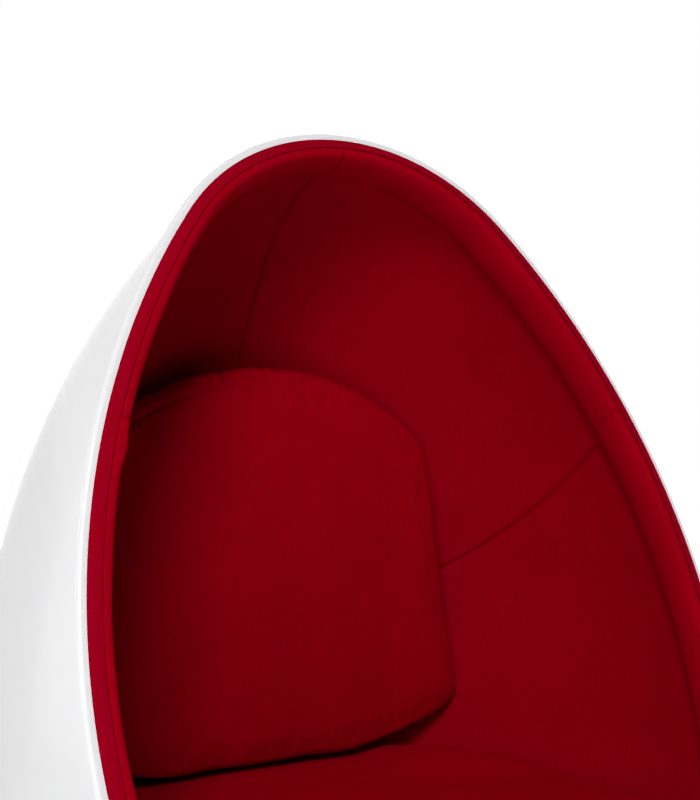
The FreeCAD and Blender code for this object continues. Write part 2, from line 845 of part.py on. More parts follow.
def back_solid(name, layer, inset):
    """Back cushion: crowned in front, and shaped by the lining behind."""
    inset = as_size(inset)
    front = centre_y + float(size["back_front"])
    # the outline is drawn upright, with its height measured from the cushion's foot
    upright = FreeCAD.Rotation(vector(1, 0, 0), 90)
    reach = size["back_thick"] + size["back_crown"] - inset
    rear = front + float(size["back_thick"]) - float(inset)
    start = FreeCAD.Placement(vector(0, rear, back_low), upright)
    block = padded(name, reach, back_outline(inset), vector(0, -1, 0), start)
    pole = vector(0, front - float(size["back_crown"]), back_fullest)
    crown = dome(
        name + "_crown", size["back_crown"], size["back_foot_reach"],
        inset, pole, vector(0, -1, 0),
    )
    doc.recompute()
    sides = []
    for number, side in enumerate(block.Shape.Edges, start=1):
        first, last = side.Vertexes[0].Point, side.Vertexes[-1].Point
        if abs(first.y - last.y) > float(size["back_thick"]) / 2:
            sides.append(number)
    upper = [number for number in sides
             if block.Shape.Edges[number - 1].Vertexes[0].Z > back_fullest]
    lower = [number for number in sides if number not in upper]
    soft = doc.addObject("Part::Fillet", name + "_corners")
    soft.Base = block
    shoulder = float(size["back_shoulder_round"] - inset)
    foot = float(size["back_foot_round"] - inset)
    soft.Edges = (
        [(number, shoulder, shoulder) for number in upper]
        + [(number, foot, foot) for number in lower]
    )
    blank = common(name + "_blank", soft, layer, crown)
    doc.recompute()
    crown_centre, crown_radius = crown.Placement.Base, float(crown.Radius)

    def on_crown(point):
        return abs((point - crown_centre).Length - crown_radius) < near

    return rounded(
        name + "_soft", blank, size["back_edge_round"] - inset,
        edges_where(blank.Shape, on_crown),
    )


def make_back_cushion():
    outer = back_solid("back_outer", cushion_face, nil)
    foam = back_solid("back_core", cushion_core_face, size["cloth"])
    corner = vector(
        -float(size["back_zip_length"]) / 2,
        centre_y + float(size["back_rear"] - size["cloth"]),
        back_low + float(size["back_zip_rise"]),
    )
    closure = slot("back_cushion_zip", size["back_zip_length"], corner, "y")
    skin = cut("back_cushion_skin", outer, foam)
    return {
        "back_cushion_foam": foam,
        "back_cushion_cover": cut("back_cushion_cover", skin, closure),
        "back_cushion_zip": closure,
    }


back_cushion = make_back_cushion()

# Heights up the column, from the floor to the underside of the shell
pad_top = size["floor_pad_thick"]
plate_top = pad_top + size["plate_thick"]
lower_race_top = size["tube_height"] + size["race_thick"]
ball_centre = lower_race_top - size["ball_seat"] + size["ball_radius"]
upper_race_foot = lower_race_top + size["ball_stack"]
plate_foot = size["plate_foot"]


def make_floor_parts():
    """Felt pad under the base, and the heavy plate that steadies the chair."""
    pad = turned(
        "floor_pad", ring_corners(nil, size["base_radius"] - size["cover_wall"], nil, pad_top)
    )
    plate_radius = size["base_radius"] - size["cover_wall"] - size["plate_fit"]
    plate = turned(
        "base_plate", ring_corners(size["plate_port_radius"], plate_radius, pad_top, plate_top)
    )
    return {"floor_pad": pad, "base_plate": plate}


def cover_sweep():
    """Radius of the cover's sweep, so that its slope ends at the rim's height."""
    slope = math.radians(float(size["cover_slope"]))
    run = float(size["base_radius"] - size["cover_edge_round"] - size["neck_radius"])
    fall = float(size["neck_height"] - size["cover_rim_height"]) - run * math.tan(slope)
    return fall / (math.cos(slope) - (1 - math.sin(slope)) * math.tan(slope))


def cover_profile(name, inset):
    """Closed profile of the trumpet cover, moved inwards by an inset."""
    trim = float(inset)
    sweep = cover_sweep() + trim
    neck = float(size["neck_radius"]) - trim
    rim = float(size["base_radius"]) - trim
    middle_x = neck + sweep
    neck_z = float(size["neck_height"])
    slope = math.radians(float(size["cover_slope"]))
    edge_round = float(size["cover_edge_round"]) - trim
    tangent = vector(middle_x - sweep * math.sin(slope), neck_z - sweep * math.cos(slope), 0)
    # the shoulder arc touches the sloping top and the upright skirt
    shoulder_x = rim - edge_round
    along_top = tangent.y - (shoulder_x - tangent.x) * math.tan(slope)
    shoulder_z = along_top - edge_round / math.cos(slope)
    top_touch = vector(
        shoulder_x + edge_round * math.sin(slope), shoulder_z + edge_round * math.cos(slope), 0
    )
    side_touch = vector(rim, shoulder_z, 0)
    half = (math.pi / 2 - slope) / 2
    bend = vector(
        shoulder_x + edge_round * math.cos(half), shoulder_z + edge_round * math.sin(half), 0
    )
    sweep_half = (math.pi / 2 - slope) / 2
    sweep_bend = vector(
        middle_x - sweep * math.cos(sweep_half), neck_z - sweep * math.sin(sweep_half), 0
    )
    foot = float(size["floor_pad_thick"]) if trim == 0 else -float(size["overrun"])
    head = neck_z if trim == 0 else neck_z + float(size["overrun"])
    neck_top = vector(neck, head, 0)
    edges = [
        Part.LineSegment(vector(0, foot, 0), vector(rim, foot, 0)).toShape(),
        Part.LineSegment(vector(rim, foot, 0), side_touch).toShape(),
        Part.Arc(side_touch, bend, top_touch).toShape(),
        Part.LineSegment(top_touch, tangent).toShape(),
        Part.Arc(tangent, sweep_bend, vector(neck, neck_z, 0)).toShape(),
    ]
    if trim:
        edges.append(Part.LineSegment(vector(neck, neck_z, 0), neck_top).toShape())
    edges.append(Part.LineSegment(neck_top, vector(0, head, 0)).toShape())
    edges.append(Part.LineSegment(vector(0, head, 0), vector(0, foot, 0)).toShape())
    profile = doc.addObject("Part::Feature", name)
    profile.Shape = Part.Face(Part.Wire(edges))
    profile.Placement = FreeCAD.Placement(
        vector(0, 0, 0), FreeCAD.Rotation(vector(1, 0, 0), 90)
    )
    return profile


def spun(name, profile):
    turn = doc.addObject("Part::Revolution", name)
    turn.Source = profile
    turn.Axis = vector(0, 0, 1)
    turn.Base = vector(0, 0, 0)
    turn.Angle = 360
    turn.Solid = True
    return turn


def make_cover():
    """Spun metal cover that sweeps up from the floor to the neck."""
    outer = spun("cover_outside", cover_profile("cover_outside_profile", nil))
    inner = spun("cover_inside", cover_profile("cover_inside_profile", size["cover_wall"]))
    return {"base_cover": cut("base_cover", outer, inner)}


def make_column():
    """Column tube, its two bushes, and the spindle that turns in them."""
    tube_bore = size["tube_bore"]
    shaft_bore = size["spindle_radius"] + size["running_fit"]
    bush_top = size["tube_height"]
    lower_foot = plate_top + size["spindle_foot_gap"] + size["ring_stand"]
    lower_foot = lower_foot + size["ring_thick"] + size["retainer_thick"] + size["retainer_play"]
    spindle_foot = plate_top + size["spindle_foot_gap"]
    groove_low = spindle_foot + size["ring_stand"]
    groove_high = groove_low + size["ring_thick"]
    groove_radius = size["spindle_radius"] - size["ring_groove"]
    spindle = turned("spindle", [
        (nil, spindle_foot), (size["spindle_radius"], spindle_foot),
        (size["spindle_radius"], groove_low), (groove_radius, groove_low),
        (groove_radius, groove_high), (size["spindle_radius"], groove_high),
        (size["spindle_radius"], plate_foot), (nil, plate_foot),
    ])
    ring = turned("ring_blank", ring_corners(
        groove_radius, size["spindle_radius"] + size["ring_groove"] * 2, groove_low, groove_high
    ))
    notch = box(
        "ring_notch", size["spindle_radius"] * 2, size["ring_opening"], size["overrun"],
        FreeCAD.Placement(
            vector(0, -float(size["ring_opening"]) / 2, groove_low), FreeCAD.Rotation()
        ),
    )
    retainer = turned("retaining_washer", ring_corners(
        shaft_bore, size["retainer_radius"], groove_high, groove_high + size["retainer_thick"]
    ))
    return {
        "column_tube": turned("column_tube", ring_corners(
            tube_bore, size["tube_radius"], plate_top, size["tube_height"]
        )),
        "lower_bush": turned("lower_bush", ring_corners(
            shaft_bore, tube_bore, lower_foot, lower_foot + size["bush_length"]
        )),
        "upper_bush": turned("upper_bush", ring_corners(
            shaft_bore, tube_bore, bush_top - size["bush_length"], bush_top
        )),
        "spindle": spindle,
        "retaining_ring": cut("retaining_ring", ring, notch),
        "retaining_washer": retainer,
    }


def ball_groove(name):
    """Track of the balls, cut into both races."""
    track = doc.addObject("Part::Torus", name)
    bound(track, "Radius1", size["ball_pitch_radius"])
    bound(track, "Radius2", size["ball_radius"] + size["ball_play"])
    track.Placement.Base = vector(0, 0, ball_centre)
    return track


def make_bearing():
    """Ball thrust bearing: two grooved races with a caged row of balls."""
    bore = size["race_bore"]
    lower = turned("lower_race_blank", ring_corners(
        bore, size["tube_radius"], size["tube_height"], lower_race_top
    ))
    upper = turned("upper_race_blank", ring_corners(
        bore, size["tube_radius"], upper_race_foot, plate_foot
    ))
    groove = ball_groove("ball_groove")
    ball = doc.addObject("Part::Sphere", "ball_blank")
    bound(ball, "Radius", size["ball_radius"])
    ball.Placement.Base = vector(0, 0, ball_centre)
    pocket = cylinder(
        "pocket_blank", size["ball_radius"] + size["ball_play"],
        ball_centre - size["cage_thick"], ball_centre + size["cage_thick"],
    )
    cage = turned("cage_blank", ring_corners(
        size["ball_pitch_radius"] - size["ball_radius"] - size["cage_margin"],
        size["ball_pitch_radius"] + size["ball_radius"] + size["cage_margin"],
        ball_centre - size["cage_thick"] / 2, ball_centre + size["cage_thick"] / 2,
    ))
    pockets = repeated("cage_pockets", pocket, size["ball_count"], size["ball_pitch_radius"])
    balls = repeated("thrust_balls", ball, size["ball_count"], size["ball_pitch_radius"])
    return {
        "lower_race": cut("lower_race", lower, groove),
        "upper_race": cut("upper_race", upper, groove),
        "thrust_balls": balls,
        "ball_cage": cut("ball_cage", cage, pockets),
    }


def make_fixings():
    """Top plate, neck shroud, plywood block and the four bolts between them."""
    plate = turned("top_plate_blank", ring_corners(
        nil, size["top_plate_radius"], plate_foot, size["pad_height"]
    ))
    shroud_bore = size["neck_radius"] + size["shroud_gap"]
    shroud = turned("neck_shroud", ring_corners(
        shroud_bore, shroud_bore + size["shroud_wall"],
        size["neck_height"] - size["shroud_overlap"], plate_foot,
    ))
    washer = turned("washer_blank", ring_corners(
        size["bolt_radius"] + size["bolt_play"], size["washer_radius"],
        plate_foot - size["washer_thick"], plate_foot,
    ))
    head_top = plate_foot - size["washer_thick"]
    head_foot = head_top - size["bolt_head_height"]
    bolt = turned("bolt_blank", [
        (nil, head_foot), (size["bolt_head_radius"], head_foot),
        (size["bolt_head_radius"], head_top), (size["bolt_radius"], head_top),
        (size["bolt_radius"], head_top + size["bolt_length"]),
        (nil, head_top + size["bolt_length"]),
    ])
    socket = doc.addObject("Part::Prism", "bolt_socket")
    socket.Polygon = 6
    bound(socket, "Circumradius", size["bolt_socket"] / 2)
    bound(socket, "Height", size["bolt_socket_depth"])
    socket.Placement.Base = vector(0, 0, head_foot)
    bolt_cut = cut("bolt_cut", bolt, socket)
    barrel_foot = block_top - size["nut_barrel_length"]
    tee_nut = turned("tee_nut_blank", [
        (size["bolt_radius"], barrel_foot), (size["nut_barrel_radius"], barrel_foot),
        (size["nut_barrel_radius"], block_top), (size["nut_flange_radius"], block_top),
        (size["nut_flange_radius"], block_top + size["nut_flange_thick"]),
        (size["bolt_radius"], block_top + size["nut_flange_thick"]),
    ])
    block = turned("block_blank", ring_corners(nil, size["block_radius"], block_foot, block_top))
    barrel_post = cylinder(
        "barrel_post", size["nut_barrel_radius"], barrel_foot, block_top + size["overrun"]
    )
    barrel_holes = repeated(
        "barrel_holes", barrel_post, size["bolt_count"], size["bolt_pitch_radius"]
    )
    drilled = cut("block_drilled", block, bolt_clearance)
    count, pitch = size["bolt_count"], size["bolt_pitch_radius"]
    return {
        "top_plate": cut("top_plate", plate, bolt_clearance),
        "neck_shroud": shroud,
        "plate_washers": repeated("plate_washers", washer, count, pitch),
        "plate_bolts": repeated("plate_bolts", bolt_cut, count, pitch),
        "tee_nuts": repeated("tee_nuts", tee_nut, count, pitch),
        "mounting_block": cut("mounting_block", drilled, barrel_holes),
    }


nodes = {
    **make_floor_parts(), **make_cover(), **make_column(), **make_bearing(),
    **make_fixings(), "shell": shell, **lining, **collar, **edge, **seat_base,
    **seat_cushion, **back_cushion,
}
doc.recompute()


def check_document():
    """Stop if any object failed or any sub-part is empty or invalid."""
    for item in doc.Objects:
        failed = [state for state in item.State if state in ("Invalid", "Error")]
        if failed:
            raise RuntimeError("%s is %s" % (item.Name, failed))
    for label, item in nodes.items():
        shape = item.Shape
        if shape.isNull() or not shape.isValid() or not shape.Solids:
            raise RuntimeError("%s has no valid solid" % label)


check_document()
os.makedirs("parts", exist_ok=True)
for label, item in nodes.items():
    item.Label = label
    item.Shape.exportStep("parts/%s.step" % label)
    bounds = item.Shape.BoundBox
    print("%-22s %2d solids %9.1f cm3  z %7.1f to %7.1f" % (
        label, len(item.Shape.Solids), item.Shape.Volume / 1000, bounds.ZMin, bounds.ZMax
    ))
print("centre of the egg", egg_centre)
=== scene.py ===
# %% [markdown]
# An egg shaped swivel chair. The real chair is a moulded egg with a glossy
# white skin, cut open by a leaning plane. Inside it is padded with foam backed
# red cloth, a rolled collar runs round the opening, and a ribbed band covers
# the joint between cloth and shell. Two loose cushions make the seat. The
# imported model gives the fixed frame: every piece made here sits where the
# frame has it, in metres.

# %% Load the frame
import json
import math

import bmesh
import bpy
import numpy as np
from mathutils import Matrix, Vector, noise


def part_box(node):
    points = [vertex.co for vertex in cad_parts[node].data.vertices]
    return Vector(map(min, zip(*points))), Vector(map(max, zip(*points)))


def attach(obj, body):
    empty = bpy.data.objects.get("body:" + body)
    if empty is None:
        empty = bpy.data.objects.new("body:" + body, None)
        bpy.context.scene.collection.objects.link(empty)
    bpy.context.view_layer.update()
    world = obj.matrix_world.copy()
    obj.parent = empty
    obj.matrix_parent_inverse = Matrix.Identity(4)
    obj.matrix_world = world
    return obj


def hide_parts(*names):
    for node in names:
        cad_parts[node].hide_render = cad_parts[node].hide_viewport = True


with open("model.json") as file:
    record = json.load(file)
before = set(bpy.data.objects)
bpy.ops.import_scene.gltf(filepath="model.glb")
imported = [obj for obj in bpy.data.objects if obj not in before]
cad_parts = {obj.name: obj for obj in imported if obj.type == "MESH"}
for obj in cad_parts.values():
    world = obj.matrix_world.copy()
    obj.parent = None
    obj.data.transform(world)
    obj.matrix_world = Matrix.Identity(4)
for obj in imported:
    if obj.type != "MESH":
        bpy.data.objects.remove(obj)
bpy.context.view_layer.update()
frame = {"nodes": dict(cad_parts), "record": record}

# %% [markdown]
# Everything in this chair follows one egg: the shell is its surface, and the
# lining, the collar and the cushions lie at a depth below it. So the egg comes
# first, as a formula. Its outline is an arc on each side and a cap at each
# end, turned about a leaning axis. All depths share the same arc centres.

# %% The egg and its opening
MM = 0.001
EGG_RADIUS = 425 * MM
EGG_RISE = 690 * MM
EGG_DROP = 500 * MM
UPPER_ARC = 925 * MM
LOWER_ARC = 560 * MM
EGG_LEAN = math.radians(5.4)
OPENING_REACH = 180 * MM
OPENING_TILT = math.radians(20.2)
PAD_RADIUS = 105 * MM
PAD_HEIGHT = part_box("shell")[0].z


def cap_radius(side, reach):
    """Radius of the ball cap that runs smoothly into an arc of the outline."""
    chord = 2 * side * EGG_RADIUS - EGG_RADIUS ** 2 - reach ** 2
    return chord / (2 * (side - reach))


UPPER_CAP = cap_radius(UPPER_ARC, EGG_RISE)
LOWER_CAP = cap_radius(LOWER_ARC, EGG_DROP)
EGG_AXIS = np.array([0, math.sin(EGG_LEAN), math.cos(EGG_LEAN)])
BALL_HEIGHT = PAD_HEIGHT + math.sqrt(LOWER_CAP ** 2 - PAD_RADIUS ** 2)
EGG_CENTRE = np.array([0, 0, BALL_HEIGHT]) + EGG_AXIS * (EGG_DROP - LOWER_CAP)
OUTWARD = np.array([0, -math.cos(OPENING_TILT), math.sin(OPENING_TILT)])
UPWARD = np.array([0, math.sin(OPENING_TILT), math.cos(OPENING_TILT)])
SIDEWAYS = np.array([1.0, 0, 0])
print("egg centre", EGG_CENTRE.round(4))

# %% [markdown]
# To place a seam or a tuck it helps to know how deep any point lies below the
# egg. The outline is measured in the plane of the point and the axis: beside an
# arc the depth is the arc's radius less the distance to its centre, and beyond
# the place where arc and cap meet, the cap's radius counts.

# %% Depth below the egg's surface, for any points


def egg_depth(points):
    """Depth of each point below the egg, negative outside it."""
    local = points - EGG_CENTRE
    along = local @ EGG_AXIS
    across = np.linalg.norm(local - along[..., None] * EGG_AXIS, axis=-1)
    depth = np.empty_like(along)
    for upper, side, reach, cap in (
        (True, UPPER_ARC, EGG_RISE, UPPER_CAP),
        (False, LOWER_ARC, EGG_DROP, LOWER_CAP),
    ):
        here = (along >= 0) == upper
        rise, out = np.abs(along[here]), across[here]
        meet = math.atan2(reach - cap, side - EGG_RADIUS)
        on_side = np.arctan2(rise, out - (EGG_RADIUS - side)) <= meet
        to_side = side - np.hypot(out - (EGG_RADIUS - side), rise)
        to_cap = cap - np.hypot(out, rise - (reach - cap))
        depth[here] = np.where(on_side, to_side, to_cap)
    return depth


# %% [markdown]
# The pieces round the opening are rings. A ring is easiest to describe by a
# small profile, drawn with two numbers for each point: its depth below the
# egg, and its height in front of the opening plane. Behind the opening the
# height is negative, and it ends at the egg's back, where the rings close to a
# point. A point of the profile is then carried round by an angle.

# %% Carry a profile point round the opening
OPENING_RISE = 114 * MM
OPENING_MIDDLE = EGG_CENTRE + OUTWARD * OPENING_REACH + UPWARD * OPENING_RISE
SEARCH_REACH = 0.95
HALVINGS = 34
RIM_DEPTH = 20 * MM
RIM_SAMPLES = 4001
FINE_STEPS = 840
WIDE_STEPS = 420
BACK_SLANT = math.asin(-float(OUTWARD @ EGG_AXIS))
BACK_WAY = -OUTWARD - EGG_AXIS * math.sin(BACK_SLANT)
BACK_WAY = BACK_WAY / np.linalg.norm(BACK_WAY)


def back_point(depth):
    """Where a layer of the egg is farthest behind the opening."""
    arc = LOWER_ARC - depth
    across = EGG_RADIUS - LOWER_ARC + arc * math.cos(BACK_SLANT)
    along = arc * math.sin(BACK_SLANT)
    return EGG_CENTRE + across[..., None] * BACK_WAY + along[..., None] * EGG_AXIS


def back_height(depth):
    """Height of that point over the opening plane, which is negative."""
    depth = np.asarray(depth, float)
    return (back_point(depth) - EGG_CENTRE) @ OUTWARD - OPENING_REACH


def on_egg(depth, height, turn):
    """Points of the egg at a depth, a height over the opening and an angle."""
    depth, height, turn = np.broadcast_arrays(
        np.asarray(depth, float), np.asarray(height, float), np.asarray(turn, float)
    )
    back = back_point(depth)
    share = np.clip(height / back_height(depth), 0, 1)[..., None]
    lift = np.maximum(height, 0)[..., None]
    middle = OPENING_MIDDLE + (back - OPENING_MIDDLE) * share + OUTWARD * lift
    way = np.cos(turn)[..., None] * SIDEWAYS + np.sin(turn)[..., None] * UPWARD
    near = np.zeros(depth.shape)
    far = np.full(depth.shape, SEARCH_REACH)
    for _ in range(HALVINGS):
        half = (near + far) / 2
        inside = egg_depth(middle + way * half[..., None]) > depth
        near = np.where(inside, half, near)
        far = np.where(inside, far, half)
    return middle + way * near[..., None]


def even_turns(count, depth=RIM_DEPTH, height=0.0):
    """Angles that step evenly round the rim from its bottom, and its length."""
    fine = np.linspace(-math.pi / 2, 3 * math.pi / 2, RIM_SAMPLES)
    rim = on_egg(depth, height, fine)
    steps = np.linalg.norm(np.diff(rim, axis=0), axis=1)
    length = np.concatenate([[0], np.cumsum(steps)])
    return np.interp(np.linspace(0, length[-1], count + 1), length, fine), length[-1]


FINE_TURNS, RIM_LENGTH = even_turns(FINE_STEPS)
WIDE_TURNS = even_turns(WIDE_STEPS)[0]
print("rim length %.3f m" % RIM_LENGTH)

# %% [markdown]
# Operators act on whatever is selected, so a few helpers keep the selection
# clean: select one object, run operators in edit mode, merge and turn the
# faces outwards, or cut by a plane. Others read and set all vertices at once.

# %% Selection and edit mode helpers


def pick(piece):
    """Make one object the only selected and active one."""
    bpy.ops.object.select_all(action="DESELECT")
    piece.select_set(True)
    bpy.context.view_layer.objects.active = piece


def edit(piece, *steps):
    """Run operators in edit mode, each on all of the mesh."""
    pick(piece)
    bpy.ops.object.mode_set(mode="EDIT")
    for step in steps:
        bpy.ops.mesh.select_all(action="SELECT")
        step()
    bpy.ops.object.mode_set(mode="OBJECT")


def close_up(piece, gap=0.02 * MM):
    """Merge doubled vertices and turn the faces outwards."""
    edit(
        piece,
        lambda: bpy.ops.mesh.remove_doubles(threshold=gap),
        lambda: bpy.ops.mesh.normals_make_consistent(inside=False),
    )


def cut_off(piece, point, normal, keep_front=True):
    """Cut by a plane, clear what lies on one side and close the cut."""
    edit(piece, lambda: bpy.ops.mesh.bisect(
        plane_co=tuple(point), plane_no=tuple(normal), use_fill=True,
        clear_inner=keep_front, clear_outer=not keep_front,
    ))


def vectors_of(items, key):
    flat = np.empty(len(items) * 3)
    items.foreach_get(key, flat)
    return flat.reshape(-1, 3)


def vertices_of(piece):
    return vectors_of(piece.data.vertices, "co")


def normals_of(piece):
    return vectors_of(piece.data.vertex_normals, "vector")


def move_vertices(piece, points):
    piece.data.vertices.foreach_set("co", np.asarray(points, float).ravel())
    piece.data.update()


def apply_all(piece):
    pick(piece)
    for modifier in list(piece.modifiers):
        bpy.ops.object.modifier_apply(modifier=modifier.name)


# %% [markdown]
# A ring starts as a flat grid, one edge along the rim and the other along the
# profile. Each vertex is then seated on the egg by its two grid places, and
# the grid's own UV map is stretched to metres, so that a rib or a thread in a
# material keeps its true size along the ring.

# %% Make a ring from a profile


def egg_ring(name, profile, turns=FINE_TURNS):
    """A ring round the opening, from (depth, height) points in metres."""
    rows = np.asarray(profile, float)
    columns, spans = len(turns) - 1, len(rows) - 1
    bpy.ops.object.select_all(action="DESELECT")
    bpy.ops.mesh.primitive_grid_add(
        x_subdivisions=columns, y_subdivisions=spans, size=1, calc_uvs=True
    )
    ring = bpy.context.object
    ring.name = ring.data.name = name
    flat = vertices_of(ring)
    column = np.rint((flat[:, 0] + 0.5) * columns).astype(int)
    row = np.rint((flat[:, 1] + 0.5) * spans).astype(int)
    seats = on_egg(rows[:, None, 0], rows[:, None, 1], turns[None, :-1])
    seats = np.concatenate([seats, seats[:, :1]], axis=1)
    move_vertices(ring, seats[row, column])
    steps = np.linalg.norm(np.diff(rows, axis=0), axis=1)
    across = np.concatenate([[0], np.cumsum(steps)])
    uv = ring.data.uv_layers.active.data
    places = np.empty(len(uv) * 2)
    uv.foreach_get("uv", places)
    places = places.reshape(-1, 2)
    picked = np.rint(places[:, 1] * spans).astype(int)
    places[:, 0] *= RIM_LENGTH
    places[:, 1] = across[picked]
    uv.foreach_set("uv", places.ravel())
    close_up(ring)
    bpy.ops.object.shade_smooth()
    return ring


def bowl_rows(depth, start, count):
    """Profile points from a height back to the point behind the egg."""
    angles = np.linspace(0, math.pi / 2, count + 1)
    end = float(back_height(depth))
    heights = end + (start - end) * (1 - np.sin(angles))
    return [(depth, height) for height in heights]


# %% [markdown]
# A profile drawn by a few corners is smoothed by a spline before it is
# carried round, as a sewn roll has no corners. This one is a Catmull-Rom
# curve, which passes through every point that it is given.

# %% Smooth a hand drawn profile


def smooth_profile(corners, steps=3):
    """A closed curve of points through the corners, given in millimetres."""
    points = np.asarray(corners, float) * MM
    out = []
    for index in range(len(points)):
        before, first, last, after = (
            points[(index + step) % len(points)] for step in (-1, 0, 1, 2)
        )
        for step in range(steps):
            along = step / steps
            out.append(
                0.5 * (
                    2 * first + (last - before) * along
                    + (2 * before - 5 * first + 4 * last - after) * along ** 2
                    + (3 * first - before - 3 * last + after) * along ** 3
                )
            )
    return out + out[:1]


# %% [markdown]
# Now the finishes. Two effects serve more than one material: a woven lattice,
# and a soft mottling that keeps a large surface from looking flat. Each is a
# node group with named sockets. These helpers add nodes, set their values and
# link them, so that a material's function stays short.

# %% Node helpers


def add_node(tree, kind, **values):
    """Add a node, set its properties and its input values."""
    node = tree.nodes.new(kind)
    for key, value in values.items():
        if hasattr(node, key):
            setattr(node, key, value)
        else:
            node.inputs[key.replace("_", " ")].default_value = value
    return node


def set_inputs(node, values):
    for label, value in values.items():
        node.inputs[label].default_value = value


def maths(tree, operation, *values):
    """A Math node on sockets or numbers, and its output."""
    node = add_node(tree, "ShaderNodeMath", operation=operation)
    for socket, value in zip(node.inputs, values):
        if isinstance(value, (int, float)):
            socket.default_value = value
        else:
            tree.links.new(value, socket)
    return node.outputs[0]


def new_group(name, inputs, outputs):
    """An empty node group with its sockets and end nodes."""
    group = bpy.data.node_groups.new(name, "ShaderNodeTree")
    for label, kind, value in inputs:
        socket = group.interface.new_socket(label, in_out="INPUT", socket_type=kind)
        if value is not None:
            socket.default_value = value
    for label, kind in outputs:
        group.interface.new_socket(label, in_out="OUTPUT", socket_type=kind)
    start = group.nodes.new("NodeGroupInput")
    end = group.nodes.new("NodeGroupOutput")
    return group, start, end


# %% [markdown]
# The cloth of the real chair is a fine twill. The sum of three sine waves,
# one along each axis, gives threads on a face that looks any way, and a
# slanting wave over several threads gives the ribs. An image could do this
# too, but waves stay sharp at any distance.

# %% The woven lattice
AXES = range(3)
THREADS_PER_RIB = 4.2
RIB_SLANT = 0.6


def make_weave_group():
    group, start, end = new_group(
        "Woven lattice",
        [("Vector", "NodeSocketVector", None), ("Thread", "NodeSocketFloat", 1 * MM)],
        [("Height", "NodeSocketFloat"), ("Rib", "NodeSocketFloat")],
    )
    turns = maths(group, "DIVIDE", 2 * math.pi, start.outputs["Thread"])
    scaled = add_node(group, "ShaderNodeVectorMath", operation="SCALE")
    group.links.new(start.outputs["Vector"], scaled.inputs[0])
    group.links.new(turns, scaled.inputs["Scale"])
    parts = add_node(group, "ShaderNodeSeparateXYZ")
    group.links.new(scaled.outputs[0], parts.inputs[0])
    waves = [maths(group, "SINE", parts.outputs[axis]) for axis in AXES]
    total = maths(group, "ADD", maths(group, "ADD", waves[0], waves[1]), waves[2])
    group.links.new(maths(group, "DIVIDE", total, len(waves)), end.inputs["Height"])
    slant = maths(group, "ADD", parts.outputs[0], parts.outputs[2])
    slant = maths(group, "MULTIPLY_ADD", parts.outputs[1], RIB_SLANT, slant)
    rib = maths(group, "SINE", maths(group, "MULTIPLY", slant, 1 / THREADS_PER_RIB))
    group.links.new(rib, end.inputs["Rib"])
    return group


WEAVE = make_weave_group()

# %% [markdown]
# No dyed cloth and no moulding is the same all over. Two noises, one of wide
# patches and one of fine grain, are put out as values, and each material takes
# as much of them as its real surface shows.

# %% The mottling


def make_mottle_group():
    group, start, end = new_group(
        "Mottling",
        [
            ("Vector", "NodeSocketVector", None),
            ("Patch", "NodeSocketFloat", 14.0),
            ("Grain", "NodeSocketFloat", 900.0),
        ],
        [("Patch", "NodeSocketFloat"), ("Grain", "NodeSocketFloat")],
    )
    for name, detail in (("Patch", 3.0), ("Grain", 2.0)):
        texture = add_node(group, "ShaderNodeTexNoise", Detail=detail)
        group.links.new(start.outputs["Vector"], texture.inputs["Vector"])
        group.links.new(start.outputs[name], texture.inputs["Scale"])
        group.links.new(texture.outputs["Fac"], end.inputs[name])
    return group


MOTTLE = make_mottle_group()

# %% [markdown]
# A material is then a Principled BSDF with these effects on its colour, its
# roughness and its bump. Colours are written in sRGB as a painter would read
# them, and turned into the linear values that Blender works in.

# %% Material helpers


def linear(red, green, blue):
    """Linear colour of an sRGB colour with parts from 0 to 255."""
    out = []
    for part in (red, green, blue):
        share = part / 255
        out.append(share / 12.92 if share <= 0.04045 else ((share + 0.055) / 1.055) ** 2.4)
    return (*out, 1.0)


def new_material(name, colour, roughness, metallic=0.0):
    """A material with a Principled BSDF and an object coordinate node."""
    material = bpy.data.materials.new(name)
    material.use_nodes = True
    tree = material.node_tree
    shader = tree.nodes["Principled BSDF"]
    set_inputs(shader, {"Base Color": colour, "Roughness": roughness, "Metallic": metallic})
    place = add_node(tree, "ShaderNodeTexCoord")
    return material, tree, shader, place


def tint(tree, shader, factor, dark, light):
    """Mix two colours by a factor and feed the shader's base colour."""
    mix = add_node(tree, "ShaderNodeMix", data_type="RGBA")
    tree.links.new(factor, mix.inputs["Factor"])
    set_inputs(mix, {"A": dark, "B": light})
    tree.links.new(mix.outputs["Result"], shader.inputs["Base Color"])


def bump(tree, shader, height, distance, strength):
    """Feed a height to the shader's normal, as a relief of some metres."""
    node = add_node(tree, "ShaderNodeBump", Distance=distance, Strength=strength)
    tree.links.new(height, node.inputs["Height"])
    tree.links.new(node.outputs["Normal"], shader.inputs["Normal"])


def use_group(tree, group, vector, **values):
    node = add_node(tree, "ShaderNodeGroup", node_tree=group)
    tree.links.new(vector, node.inputs["Vector"])
    set_inputs(node, values)
    return node


# %% [markdown]
# The red cloth has no gloss, so its specular level is nought, and a little
# tinted sheen stands for the fibres. The lining's ribs follow its UV map,
# because the ring bends all the way round, and the cushions' ribs follow the
# object, because remeshed pieces have no map.

# %% Cloth
THREAD_WIDTH = 1.1 * MM
RIB_THREAD_WIDTH = 0.792 * MM
CLOTH_ROUGHNESS = 0.86
CLOTH_PATCHES, CLOTH_GRAIN = 11.0, 430.0
PATCH_SHARE, SHADE_OFFSET = 0.4, 0.2
WEAVE_HEIGHT, RIB_HEIGHT = 0.4, 0.2
CLOTH_RELIEF, CLOTH_BUMP = 0.3 * MM, 0.6


